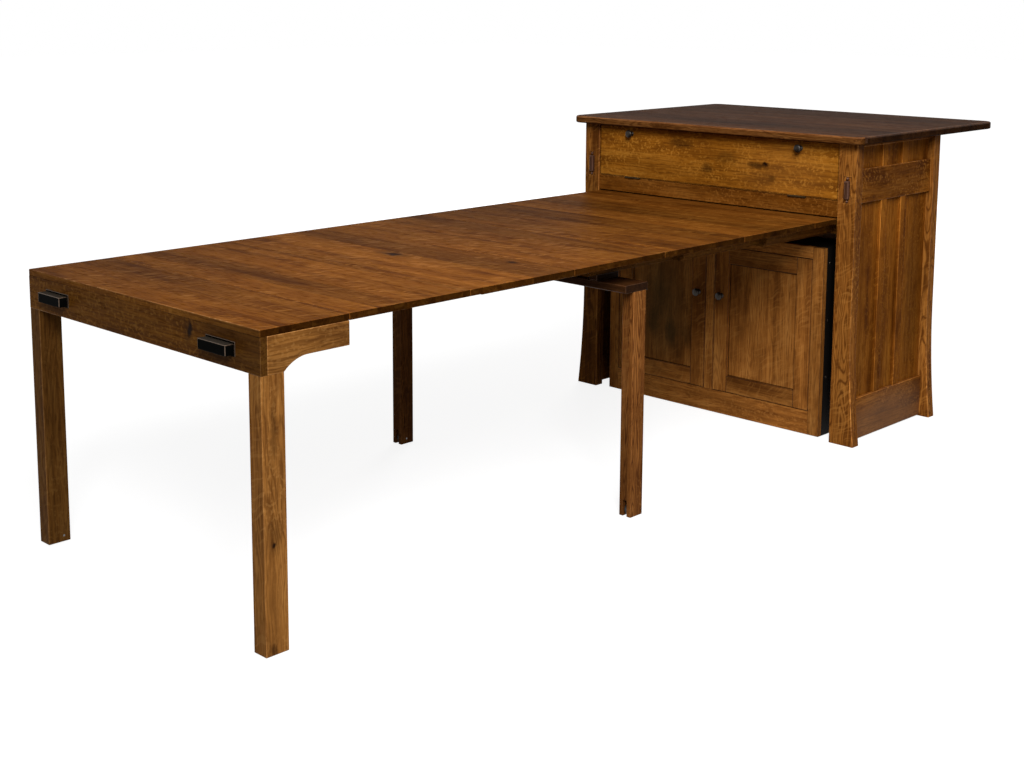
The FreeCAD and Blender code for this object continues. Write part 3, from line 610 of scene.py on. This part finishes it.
# Satin-lacquered white oak, quarter-sawn, in the stains that the eye tells apart.
FINISHES = {
    # Warm brown with a dull sheen, in narrow strips that differ in tone, with arrises paler by wear and a
    # painted highlight.
    "top": Finish("top", arris=WORN_AND_HIGHLIT, fleck=0.85, stripe=0.12, rings=0.3, cloud=0.8, contrast=1.15, strip=1.0,
                  gloss=0.003, end_tone=0.25),
    # Pale and golden, with dark streaks.
    "leg": Finish("leg", fleck=0.3, flame=1.2, rings=0.6, contrast=1.2),
    # The same oak, darker: painted shade, as the light falls off towards the left end.
    "far_leg": Finish("far_leg", fleck=0.3, flame=1.2, rings=0.4, contrast=1.1),
    # Strongly ringed, as flat-sawn faces are.
    "bridge": Finish("bridge", fleck=0.25, flame=1.6, rings=1.0, ring_count=19.0, contrast=1.45),
    # Nearly black, with little figure left.
    "bar": Finish("bar", fleck=0.3, contrast=1.0),
    # Mid brown and cloudy.
    "apron": Finish("apron", fleck=0.6, rings=0.3, cloud=1.0, end_tone=0.8),
    # Golden brown, with tall flames of rings.
    "post": Finish("post", fleck=0.4, flame=1.6, rings=0.9, ring_count=13.0, contrast=1.4),
    # Plain and dark, so that the joinery stands out.
    "key": Finish("key", fleck=0.1, contrast=0.8),
    # Cloudy brown with bold golden flecks.
    "rail": Finish("side", rays=GOLDEN_RAYS, fleck=0.6, flame=0.8, stripe=0.2, rings=0.3, cloud=1.2,
                   contrast=1.35, gloss=0.012),
    # The rails' brown, quieter.
    "side": Finish("side", fleck=0.36, stripe=0.2, rings=0.3, cloud=1.1, contrast=1.3, gloss=0.012),
    # Cloudy and warm, with arrises darkened as painted shade in the gaps between doors, frames and panels.
    "door": Finish("door", arris=SHADED, fleck=0.24, stripe=0.2, rings=0.35, cloud=1.0, contrast=1.25),
    # The brightest: amber with golden flecks.
    "drop": Finish("drop", rays=GOLDEN_RAYS, fleck=0.55, flame=0.8, contrast=1.05, cloud=1.1),
    # Dark reddish brown, nearly without flecks, with a polished edge; lighter copies of the stain on the
    # front wall and upper front arris are painted light and a painted highlight.
    "counter": Finish("counter", fleck=0.15, stripe=0.45, rings=0.3, contrast=1.3, strip=1.4, gloss=0.004,
                      shine=16.0),
    "counter_front": Finish("counter", fleck=0.15, flame=2.0, stripe=0.45, rings=0.75, ring_count=22.0,
                            contrast=1.3, gloss=0.004),
}


def both_sides(*marks):
    """The same marks at the island's right and left."""
    return tuple(((way * x, y, z), *rest) for (x, y, z), *rest in marks for way in (1, -1))


# Knots and smears, and painted shade, light and sheen: a centre and reaches in millimetres, a strength and a
# colour.
MARKS = {
    "top": (((-2.5, -733.8, 750), (34, 28, 18), 1.0, KNOT), ((-10, -733.8, 750), (90, 36, 20), 0.5, KNOT),
            ((316.8, -587.7, 750), (26, 20, 14), 0.9, KNOT),
            # Painted shade towards the table's left end and its far side by the island.
            ((-505, -1568, 750), (700, 800, 400), 0.18, SHADE),
            ((-505, 60, 750), (760, 700, 300), 0.24, SHADE)),
    # Painted light on the right leg's side and brackets.
    "leg": (((505.5, -1480, 720), (60, 110, 60), 0.14, PAINTED_LIGHT),
            ((505.5, -1535, 130), (70, 80, 170), 0.25, PAINTED_LIGHT),
            ((505.5, -1539, 258.1), (9, 9, 11), 1.0, KNOT), ((505.5, -1537, 275), (26, 26, 60), 0.35, KNOT),
            ((505.5, -1546, 14), (18, 18, 26), 0.5, KNOT), ((505.5, -1537, 519), (14, 14, 100), 0.4, KNOT)),
    "apron": (((238, -1568, 710), (10, 20, 26), 1.0, KNOT), ((232, -1568, 700), (28, 20, 46), 0.45, KNOT),
              # Painted shade on the apron near the right leg.
              ((440, -1568, 700), (240, 60, 160), 0.35, SHADE)),
    # Painted shade on the middle rails under the counter.
    "rail": both_sides(((561, 1004, 860), (40, 400, 90), 0.25, SHADE),
                       # Painted sheen: the base rails greyer and paler, as light from the floor would make
                       # them.
                       ((561, 1004, 40), (40, 420, 150), 0.38, PAINTED_SHEEN)),
    # Painted shade on the outer boards of each side.
    "side": both_sides(((549, 835, 470), (60, 75, 420), 0.26, SHADE),
                       ((549, 1170, 470), (60, 80, 420), 0.36, SHADE)),
    "door": (((-176.5, 757, 260.1), (40, 40, 80), 0.7, KNOT),
             ((-255.1, 757, 290.2), (34, 34, 70), 0.6, KNOT),
             ((-103.9, 757, 256.8), (36, 36, 70), 0.5, KNOT),
             ((-232.9, 757, 384.6), (70, 40, 120), 0.5, KNOT),
             # Painted shadow of the table on the left door's top.
             ((-180, 757, 560), (240, 40, 120), 0.15, SHADE),
             # Partly the oak's smoky blotches, partly a painted tint of the table's shadow on the left door.
             ((-230, 757, 350), (180, 40, 280), 0.31, SMOKE_AND_SHADE_TINT)),
    # Painted light on the right half of the drop front.
    "drop": (((300, 737, 880), (260, 60, 140), 0.16, PAINTED_LIGHT), ((223.2, 737, 904.8), (18, 12, 10), 1.0, KNOT),
             ((190, 737, 897), (60, 20, 18), 0.7, KNOT), ((-16.8, 737, 871.6), (40, 24, 26), 0.6, KNOT),
             ((-132.7, 737, 951), (80, 26, 26), 0.55, KNOT), ((60, 737, 915), (60, 30, 30), 0.35, KNOT),
             ((250, 737, 860), (24, 16, 16), 0.5, KNOT)),
}


def oak_finishes(name, finish, grain_axis=None, seed=0, shade_lines=()):
    """The stained face and the arris of one node's or piece's oak."""
    look = FINISHES[finish]
    # The arris material takes the finish's share: rubbed wear with a painted highlight, and in the doors
    # painted shade.
    return [oak_material(name, finish, grain_axis, seed, shade_lines=shade_lines),
            oak_material(name + "_arris", finish, grain_axis, seed, look.arris, look.shine)]


def oak_material(name, finish, grain_axis=None, seed=0, rubbed=(1, 1, 1, 1), shine=1, shade_lines=()):
    """Oak for one node or piece in one of the finishes.

    Without a grain axis it follows the piece's own grain attributes. With one it reads Object coordinates,
    from a place in the tree that the seed picks. A seam is an axis and a place on it along which a thin
    strip is darkened as painted shade, where a panel or front meets its frame. The share tints the stain for
    arrises and fronts, as rubbed wear with a painted highlight, as painted shade in the doors, and as
    painted light on the counter's front.
    """
    look = FINISHES[finish]
    mid = np.array(getattr(bpy.context.scene.island_oak, look.colour)) * rubbed
    material = bpy.data.materials.new(name)
    node = partial(add_node, empty_tree(material))
    where = node("TexCoord").outputs
    if grain_axis is None:
        grain = node("Attribute", attribute_name="grain").outputs["Vector"]
        end = node("Attribute", attribute_name="end_grain").outputs["Fac"]
    else:
        parts, facing = (node("SeparateXYZ", [where[key]]).outputs for key in ("Object", "Normal"))
        across = [parts[axis] for axis in range(3) if axis != grain_axis]
        order = node("CombineXYZ", [parts[grain_axis], *across])
        start = np.random.default_rng(NODE_SEEDS + seed).uniform(0, TREE_SPAN, 3)
        grain = node("Mapping", {"Vector": order, "Location": tuple(start)})
        end = node("Math", [facing[grain_axis]], operation="ABSOLUTE")
    figure = node("Group", {"Grain": grain, "End grain": end, "End tone": look.end_tone,
                            "Strip": bpy.context.scene.island_sizes.strip * look.strip,
                            "Fleck": look.fleck, "Flame": look.flame, "Stripe": look.stripe,
                            "Rings": look.rings, "Ring count": look.ring_count, "Cloud": look.cloud,
                            "Contrast": look.contrast, "Dark": mid * PORE_SHARE, "Mid": mid,
                            "Light": mid * look.rays},
                  node_tree=bpy.data.node_groups["oak_figure"])
    knots_and_painted_light = []
    if finish in MARKS:
        ragged = node("TexNoise", {"Vector": where["Object"], "Scale": 1 / MARK_CELL, "Detail": 2})
        ragged = node("VectorMath", [ragged.outputs["Color"], (MARK_SHIFT,) * 3, where["Object"]],
                      **TIMES_PLUS)
    for centre, reach, strength, stain in MARKS.get(finish, ()):
        away = node("VectorMath", [ragged, tuple(MM * np.array(centre) + MARK_SHIFT / 2)],
                    operation="SUBTRACT")
        away = node("VectorMath", [away, tuple(1 / (MM * np.array(reach)))], **TIMES)
        away = node("VectorMath", [away], operation="LENGTH").outputs["Value"]
        knots_and_painted_light.append((node("MapRange", [away, MARK_CORE, 1, strength, 0], **SMOOTH), stain))
    # Painted shade: a thin dark strip along each seam, where a panel or front meets its frame.
    for axis, spot in shade_lines:
        near = node("Math", [node("SeparateXYZ", [where["Object"]]).outputs[axis], spot, SHADE_LINE_REACH],
                    operation="COMPARE")
        knots_and_painted_light.append((node("Math", [near, SHADE_LINE_STRENGTH], **TIMES), SHADE))
    colour = figure.outputs["Color"]
    for share, stain in knots_and_painted_light:
        colour = node("Mix", {0: share, 6: colour, 7: to_linear(stain)}, data_type="RGBA").outputs[2]
    relief = node("Bump", {**OAK_RELIEF, "Height": figure.outputs["Height"]})
    shader = node("BsdfPrincipled", {"Base Color": colour, "Roughness": figure.outputs["Roughness"],
                                     "IOR": 1.5, "Specular IOR Level": look.gloss * shine,
                                     "Normal": relief})
    node("OutputMaterial", {"Surface": shader})
    return material


class Plain(NamedTuple):
    """A surface of one colour: what it is like, and how its tone wavers over cells of one size."""
    colour: str
    roughness: float
    metallic: float
    cell_mm: tuple
    spread: float
    gloss: float = 0.5


PLAINS = {
    # Steel with a bronze dip: brown, and mottled where the dip is thin.
    "bronzed_hinge": Plain("bronze", 0.4, 0.5, (9, 9, 9), 0.35, 0.1),
    # The same dip on turned knobs: a soft glint on each head.
    "bronzed_knob": Plain("knob", 0.35, 0.7, (6, 6, 6), 0.4, 0.3),
    # Satin lacquer on steel: nearly black, with hardly a reflection.
    "black_lacquered_pull": Plain("blackened", 0.25, 0.0, (14, 14, 14), 0.3, 0.004),
    # Bare metal on the lacquer's upper edges: a thin warm line, partly wear and partly a painted highlight.
    "rubbed_pull_edge": Plain("rubbed", 0.35, 0.7, (5, 5, 5), 0.3),
    # Painted sheen on the pulls' tops: a brown-grey film that stands in for light from above on the lacquer.
    "worn_pull_top": Plain("worn", 0.5, 0.0, (6, 6, 6), 0.3, 0.1),
    # Zinc-plated screws, dulled by stain: a small dark glint.
    "zinc_screw": Plain("zinc", 0.3, 1.0, (2, 2, 2), 0.2),
    # Turned steel: bright, with tool rings, which are drawn 2 mm apart so that they show.
    "turned_steel": Plain("steel", 0.3, 1.0, (2, 20, 20), 0.1),
    # Moulded nylon: dark, even and dull.
    "moulded_nylon": Plain("roller", 0.45, 0.0, (4, 4, 4), 0.12),
    # Unstained boards inside: long faint streaks.
    "inside_board": Plain("plain_board", 0.6, 0.0, (5, 220, 5), 0.22),
    # Black stain on the cabinet's sides, which the cabinet's top also takes as painted shade: upright
    # streaks that only show in raking light.
    "black_stained_board": Plain("black_stain", 0.55, 0.0, (4, 4, 180), 0.35, 0.05),
}


def plain_material(name):
    """One of the plain finishes, whose noise wavers its tone, its roughness and its relief together."""
    look = PLAINS[name]
    colour = tuple(getattr(bpy.context.scene.island_fittings, look.colour))[:3]
    material = bpy.data.materials.new(name)
    node = partial(add_node, empty_tree(material))
    scaled = node("VectorMath", [node("TexCoord").outputs["Object"],
                                 tuple(1000 / size for size in look.cell_mm)], **TIMES)
    cells = node("TexNoise", {"Vector": scaled, "Scale": 1, "Detail": 4, "Roughness": 0.6})
    value, rough = (node("MapRange", [cells, *NOISE_RANGE, middle * (1 - spread), middle * (1 + spread)])
                    for middle, spread in ((1, look.spread), (look.roughness, ROUGHNESS_SPREAD)))
    tinted = node("VectorMath", {0: colour, "Scale": value}, operation="SCALE")
    relief = node("Bump", {**PLAIN_RELIEF, "Height": cells})
    shader = node("BsdfPrincipled", {"Base Color": tinted, "Roughness": rough, "Metallic": look.metallic,
                                     "Specular IOR Level": look.gloss, "Normal": relief})
    node("OutputMaterial", {"Surface": shader})
    return material


def repaint(node, material):
    """Gives a CAD node a better material through its own slots."""
    dressed = frame["nodes"][node]
    if not dressed.material_slots:
        dressed.data.materials.append(None)
    for slot in dressed.material_slots:
        slot.material = material


# The nodes of each finish by the axis along which their grain runs.
OAK_NODES = {
    "apron": {
        0: ("end_apron",),
        1: tuple(f"slide_stage_{stage}" for stage in range(7)),
    },
    "bar": {0: ("bridge_bar", "bridge_spacers")},
    "leg": {1: ("end_brackets",), 2: ("end_leg_right",)},
    "far_leg": {2: ("end_leg_left",)},
    "bridge": {2: ("bridge_legs",)},
    "post": {2: ("front_post_left", "front_post_right", "back_post_left", "back_post_right")},
    "key": {2: ("post_keys", "post_pegs")},
    "rail": {0: ("back_rails", "front_rail"), 1: ("side_rails_left", "side_rails_right")},
    "side": {2: ("side_panel_left", "side_panel_right", "back_panel")},
    "door": {
        0: ("frame_rails",),
        2: ("frame_stiles", "frame_mullion", "door_panel_left", "door_panel_right"),
    },
    "drop": {0: ("drop_front",)},
}
UNSANDED = ("slide_stage", "door_panel")
# Panels and fronts with painted shade along their outline.
SHADE_LINED = ("door_panel", "drop_front")


class ISLAND_OT_oak_nodes(bpy.types.Operator):
    """Sand and stain every oak board that keeps its CAD shape"""
    bl_idname = "island.oak_nodes"
    bl_label = "Oak boards"

    def execute(self, context):
        sizes = context.scene.island_sizes
        rows = [(finish, axis, node) for finish, by_axis in OAK_NODES.items()
                for axis, nodes in by_axis.items() for node in nodes]
        for seed, (finish, axis, node) in enumerate(rows, 1):
            oak = oak_finishes("oak_" + node, finish, axis, seed, shade_lines_of(node))
            if node.startswith(UNSANDED):
                repaint(node, oak[0])
            else:
                ceiling = box_of(node)[1][2] if node == "end_apron" else None
                sanded(node, oak, sizes.flush_arris if finish == "door" else sizes.arris, ceiling)
        return {"FINISHED"}


def shade_lines_of(node):
    """The outline of a panel or front that sits in a frame, as seams."""
    # Each seam carries painted shade.
    if node.startswith(SHADE_LINED):
        return [(axis, float(corner[axis])) for axis in (0, 2) for corner in box_of(node)]
    return ()


REPAINTED = {
    "bronzed_hinge": ("drop_hinge_fixed_leaves", "drop_hinge_moving_leaves"),
    "turned_steel": ("end_axles", "bridge_axles"),
    "moulded_nylon": ("end_rollers", "bridge_rollers"),
    "inside_board": ("leaf_store_floor", "cabinet_bottom", "cabinet_back", "slide_bearers"),
    # The cabinet's top takes the black finish as painted shade, for the shadow under the table.
    "black_stained_board": ("cabinet_side_left", "cabinet_side_right", "cabinet_top"),
}


class ISLAND_OT_fittings(bpy.types.Operator):
    """Finish the hinges, axles and rollers, and the boards inside"""
    bl_idname = "island.fittings"
    bl_label = "Fittings and inside boards"

    def execute(self, context):
        for finish, nodes in REPAINTED.items():
            material = plain_material(finish)
            for node in nodes:
                repaint(node, material)
        return {"FINISHED"}


COUNTER_SEED = 7


class ISLAND_OT_counter(bpy.types.Operator):
    """Make the counter with its rounded edge and corners"""
    bl_idname = "island.counter"
    bl_label = "Counter"

    def execute(self, context):
        sizes = context.scene.island_sizes
        low, high = box_of("island_top")
        shell = plate(rectangle(low, high, 2), 2, low[2], high[2], sizes.counter_round, 0, COUNTER_SEED,
                      sizes.counter_corner)
        mesh = make_mesh("counter_board", [shell])
        part_front(mesh, 2, 3)
        # The front wall and its upper arris take lighter copies of the stain: painted light and a painted
        # highlight.
        oak = [*oak_finishes("counter_oak", "counter"),
               oak_material("counter_front_oak", "counter_front", rubbed=PAINTED_FRONT_LIGHT),
               oak_material("counter_front_arris", "counter_front", rubbed=PAINTED_FRONT_HIGHLIGHT,
                            shine=FINISHES["counter"].shine)]
        place("counter_board", mesh, oak, "island_top")
        return {"FINISHED"}


TABLE_BOARDS = ("end_board", "leaf_1", "leaf_2", "leaf_3", "leaf_4", "leaf_5", "inner_board")
TABLE_SEEDS = 20


class ISLAND_OT_table_boards(bpy.types.Operator):
    """Make the seven boards of the table top"""
    bl_idname = "island.table_boards"
    bl_label = "Table boards"

    def execute(self, context):
        sizes = context.scene.island_sizes
        oak = [*oak_finishes("table_top_oak", "top"),
               oak_material("end_board_front_oak", "apron"),
               # The end board's upper front arris: wear with a painted highlight.
               oak_material("end_board_front_arris", "top", rubbed=BOARD_ARRIS_WEAR_AND_HIGHLIGHT,
                            shine=FINISHES["top"].shine)]
        for seed, node in enumerate(TABLE_BOARDS, TABLE_SEEDS):
            at_end = node == "end_board"
            arris = sizes.arris if at_end else sizes.joint_arris
            mesh = make_mesh(node + "_oak", [board(*box_of(node), 0, seed, arris)])
            if at_end:
                part_front(mesh, 2, 3)
            place(node + "_oak", mesh, oak, node)
        return {"FINISHED"}


STILE_WIDTH = 58 * MM
DOOR_SEEDS = {"left": 40, "right": 44}


class ISLAND_OT_doors(bpy.types.Operator):
    """Make both doors' frames from two stiles and two rails each"""
    bl_idname = "island.doors"
    bl_label = "Doors"

    def execute(self, context):
        # The stiles' and rails' arrises take the doors' painted shade.
        oak = oak_finishes("door_oak", "door")
        arris = context.scene.island_sizes.flush_arris
        for side, seed in DOOR_SEEDS.items():
            (left, front, _), (right, back, _) = box_of("door_frame_" + side)
            (inner_left, _, inner_low), (inner_right, _, inner_high) = box_of("door_panel_" + side)
            low, high = inner_low - STILE_WIDTH, inner_high + STILE_WIDTH
            shells = [board((x0, front, z0), (x1, back, z1), along, seed + i, arris, 1)
                      for i, (x0, x1, z0, z1, along) in enumerate((
                          (left, inner_left, low, high, 2), (inner_right, right, low, high, 2),
                          (inner_left, inner_right, low, inner_low, 0),
                          (inner_left, inner_right, inner_high, high, 0)))]
            place("door_boards_" + side, make_mesh("door_boards_" + side, shells), oak, "door_frame_" + side)
        return {"FINISHED"}


# A knob's rose and waist as shares of its radius and length. Its head climbs from under its rim, at
# HEAD_TURN's first angle in degrees, to near its crown.
KNOB_FOOT = ((0.2, 0), (0.62, 0), (0.66, 0.03), (0.62, 0.09), (0.42, 0.14), (0.36, 0.22), (0.34, 0.36),
             (0.4, 0.46), (0.6, 0.54))
HEAD_TURN = (-60, 84)
HEAD_STEPS = 12


def knob_profile(radius, length):
    """Radius and distance from the face: a rose, a waist and a domed head.

    The rim lies at 0.72 of the length. Below it the head's radius follows a cosine from 0.45 of the full
    one, and above it the cosine to the power 0.8; the distance follows the sine.
    """
    turn = np.radians(np.linspace(*HEAD_TURN, HEAD_STEPS))
    head = [(0.45 + 0.55 * cos(a) if a < 0 else cos(a) ** 0.8, 0.72 + (0.28 if a > 0 else 0.2) * sin(a))
            for a in turn]
    return [(radius * out, length * along) for out, along in (*KNOB_FOOT, *head)]


class ISLAND_OT_knobs(bpy.types.Operator):
    """Turn the knobs, and the doors' pins with them"""
    bl_idname = "island.knobs"
    bl_label = "Knobs and door pins"

    def execute(self, context):
        metal = [plain_material("bronzed_knob")]
        for node in ("drop_front_knobs", "door_fittings_left", "door_fittings_right"):
            shells = []
            for low, high in solids_of(node):
                (width, depth, height), centre = high - low, (low + high) / 2
                if height > width + MM:
                    rod = [(0, 0), (width / 2, 0), (width / 2, height), (0, height)]
                    shells.append(upright(rod, (centre[0], centre[1], low[2])))
                else:
                    shells.append(turned(knob_profile(height / 2, depth), (centre[0], high[1], centre[2])))
            place(node + "_turned", make_mesh(node + "_turned", shells), metal, node)
        return {"FINISHED"}


PULL_ARRIS = 1.5 * MM
PLATE_ARRIS = 0.9 * MM
PLATE_THICKNESS = 2 * MM
# How far the grip stands in from the plate's ends, and from its top and bottom.
PULL_SIDE = 3 * MM
PULL_MARGIN = 4.2 * MM


class ISLAND_OT_pulls(bpy.types.Operator):
    """Make the two box-shaped pulls on their back plates"""
    bl_idname = "island.pulls"
    bl_label = "Pulls"

    def execute(self, context):
        metal = [plain_material(name)
                 for name in ("black_lacquered_pull", "rubbed_pull_edge", "worn_pull_top")]
        shells = [board(low, high, 0, i, arris, 1) for i, (low, high, arris) in enumerate(pull_boxes())]
        mesh = make_mesh("end_pulls_boxed", shells)
        # The tops take the painted sheen, and the upper arrises the bare edge with its painted highlight.
        part_front(mesh, top=2)
        place("end_pulls_boxed", mesh, metal, "end_pulls")
        return {"FINISHED"}


def pull_boxes():
    """Plate and grip of each pull: the plate has the solid's outline, and the grip stands within it."""
    margin = np.array([PULL_SIDE, 0, PULL_MARGIN])
    for low, high in solids_of("end_pulls"):
        face = high[1] - PLATE_THICKNESS
        yield np.array([low[0], face, low[2]]), high, PLATE_ARRIS
        yield low + margin, np.array([high[0], face, high[2]]) - margin, PULL_ARRIS


SCREW_RADIUS = 4.5 * MM
SCREW_HEIGHT = 2.2 * MM
SCREW_INSET = 17 * MM
SCREW_LEVELS = (204 * MM, 397.5 * MM, 592 * MM)
SCREW_STEPS = 16
# Angles up a screw's dome, which ends in a small flat just short of its pole.
SCREW_DOME = np.linspace(0, pi / 2 - 0.05, 7)


class ISLAND_OT_screws(bpy.types.Operator):
    """Set the domed screw heads that hold the cabinet's black sides to the face frame"""
    bl_idname = "island.screws"
    bl_label = "Screws"

    def execute(self, context):
        zinc = [plain_material("zinc_screw")]
        dome = [(SCREW_RADIUS * cos(a), SCREW_HEIGHT * sin(a)) for a in SCREW_DOME]
        for side, way in (("left", -1), ("right", 1)):
            node = "cabinet_side_" + side
            low, high = box_of(node)
            face = high[0] if way > 0 else low[0]
            shells = [turned(dome, (face, low[1] + SCREW_INSET, level), (way, 0, 0), SCREW_STEPS)
                      for level in SCREW_LEVELS]
            place("cabinet_screws_" + side, make_mesh("cabinet_screws_" + side, shells), zinc, node, False)
        return {"FINISHED"}


FLOOR_REACH = 30.0
# The floor keeps the object's shadow near it and fades to the background further out.
NEAR_FLOOR, FAR_FLOOR = 1.5, 6.0
NEAR_GLOW = 0.86
# Each lamp's name, place, what it looks at and its width, in metres.
LAMPS = (("key", (4.4, -4.3, 4.4), (0, 0, 0.7), 2.2),
         ("top", (1.7, -1.1, 2.9), (0.2, 0.2, 0.7), 1.0),
         ("back", (-3.8, 5.6, 1.9), (0, 1.1, 0.6), 2.4))
# The camera as fitted to the photograph: its turn, drop and roll in degrees and its place in metres.
FOCAL_PIXELS = 1471.6
PHOTO_WIDTH = 1024
SENSOR_MM = 36
CAMERA_SHIFT = (0.0218, -0.1602)
CAMERA_ANGLES = (44.758, 8.619, 0.163)
CAMERA_PLACE = (3.0345, -3.4168, 1.4603)


class ISLAND_OT_studio(bpy.types.Operator):
    """Lay the floor, set the lights and place the camera"""
    bl_idname = "island.studio"
    bl_label = "Studio and camera"

    def execute(self, context):
        context.scene.view_settings.view_transform = "Standard"
        lay_floor(context.scene)
        light_up(context.scene)
        place_camera(context.scene)
        return {"FINISHED"}


def seen(node):
    """1 on the rays by which the camera, gloss or glass sees a surface, and 0 on those that light it."""
    path = node("LightPath").outputs
    either = node("Math", [path["Is Camera Ray"], path["Is Glossy Ray"]], operation="MAXIMUM")
    return node("Math", [either, path["Is Transmission Ray"]], operation="MAXIMUM")


def lay_floor(scene):
    """A floor that glows where it is seen, so that it is white but for the object's shadow."""
    studio = scene.island_studio
    mesh = bpy.data.meshes.new("floor")
    corners = rectangle((-FLOOR_REACH,) * 2, (FLOOR_REACH,) * 2, 2)
    mesh.from_pydata([(*corner, 0) for corner in corners], [], [(0, 1, 2, 3)])
    floor = bpy.data.objects.new("floor", mesh)
    scene.collection.objects.link(floor)
    material = bpy.data.materials.new("pale_floor")
    node = partial(add_node, empty_tree(material))
    matt = node("BsdfDiffuse", {"Color": studio.floor_tone})
    away = node("VectorMath", [node("TexCoord").outputs["Object"]], operation="LENGTH").outputs["Value"]
    glow = node("MapRange", [away, NEAR_FLOOR, FAR_FLOOR, NEAR_GLOW, 1], **SMOOTH)
    lift = node("Emission", {"Color": studio.background, "Strength": glow})
    shown = node("MixShader", [seen(node), matt, node("AddShader", [matt, lift])])
    node("OutputMaterial", {"Surface": shown})
    mesh.materials.append(material)


def light_up(scene):
    """A white world that lights only a little, and three soft lamps."""
    studio = scene.island_studio
    scene.world = bpy.data.worlds.new("studio")
    node = partial(add_node, empty_tree(scene.world))
    strength = node("MapRange", [seen(node), 0, 1, studio.fill, 1])
    light = node("Background", {"Color": studio.background, "Strength": strength})
    node("OutputWorld", {"Surface": light})
    for name, spot, aim, width in LAMPS:
        lamp = bpy.data.lights.new(name, "AREA")
        lamp.shape = "SQUARE"
        lamp.size = width
        lamp.energy = getattr(studio, name + "_power")
        lit = bpy.data.objects.new(name, lamp)
        lit.visible_camera = False
        lit.visible_glossy = name != "back"
        scene.collection.objects.link(lit)
        turn = (Vector(aim) - Vector(spot)).to_track_quat("-Z", "Y")
        lit.matrix_world = Matrix.Translation(spot) @ turn.to_matrix().to_4x4()


def place_camera(scene):
    """The photograph's camera, which looks along a direction turned from +Y, dropped and rolled."""
    data = bpy.data.cameras.new("camera")
    data.sensor_width = SENSOR_MM
    data.sensor_fit = "HORIZONTAL"
    data.lens = FOCAL_PIXELS * SENSOR_MM / PHOTO_WIDTH
    data.shift_x, data.shift_y = CAMERA_SHIFT
    camera = bpy.data.objects.new("camera", data)
    scene.collection.objects.link(camera)
    turn, drop, roll = (radians(angle) for angle in CAMERA_ANGLES)
    forwards = Vector((-sin(turn) * cos(drop), cos(turn) * cos(drop), -sin(drop)))
    right = Vector((cos(turn), sin(turn), 0))
    up = right.cross(forwards)
    axes = (cos(roll) * right + sin(roll) * up, cos(roll) * up - sin(roll) * right, -forwards)
    camera.matrix_world = Matrix.Translation(CAMERA_PLACE) @ Matrix(axes).transposed().to_4x4()
    scene.camera = camera


OPERATORS = (ISLAND_OT_oak_nodes, ISLAND_OT_fittings, ISLAND_OT_counter, ISLAND_OT_table_boards,
             ISLAND_OT_doors, ISLAND_OT_knobs, ISLAND_OT_pulls, ISLAND_OT_screws, ISLAND_OT_studio)
GROUPS = {"island_oak": ISLAND_PG_oak, "island_fittings": ISLAND_PG_fittings,
          "island_sizes": ISLAND_PG_sizes, "island_studio": ISLAND_PG_studio}


class ISLAND_PT_panel(bpy.types.Panel):
    """Lists the island's operators and settings in the sidebar"""
    bl_idname = "ISLAND_PT_panel"
    bl_label = "Kitchen island"
    bl_space_type = "VIEW_3D"
    bl_region_type = "UI"
    bl_category = "Island"

    def draw(self, context):
        for operator in OPERATORS:
            self.layout.operator(operator.bl_idname)
        for group in GROUPS:
            settings = getattr(context.scene, group)
            box = self.layout.box()
            for key in settings.bl_rna.properties.keys():
                if key not in ("rna_type", "name"):
                    box.prop(settings, key)


def register():
    """Registers the groups, operators and panel."""
    for group, made in GROUPS.items():
        bpy.utils.register_class(made)
        setattr(bpy.types.Scene, group, bpy.props.PointerProperty(type=made))
    for made in (*OPERATORS, ISLAND_PT_panel):
        bpy.utils.register_class(made)


def unregister():
    """Takes them out again."""
    for made in (ISLAND_PT_panel, *reversed(OPERATORS)):
        bpy.utils.unregister_class(made)
    for group, made in GROUPS.items():
        delattr(bpy.types.Scene, group)
        bpy.utils.unregister_class(made)


def main():
    """Builds every piece and the stage."""
    register()
    make_oak_figure()
    bpy.ops.island.oak_nodes()
    bpy.ops.island.fittings()
    bpy.ops.island.counter()
    bpy.ops.island.table_boards()
    bpy.ops.island.doors()
    bpy.ops.island.knobs()
    bpy.ops.island.pulls()
    bpy.ops.island.screws()
    bpy.ops.island.studio()


if __name__ == "__main__":
    main()
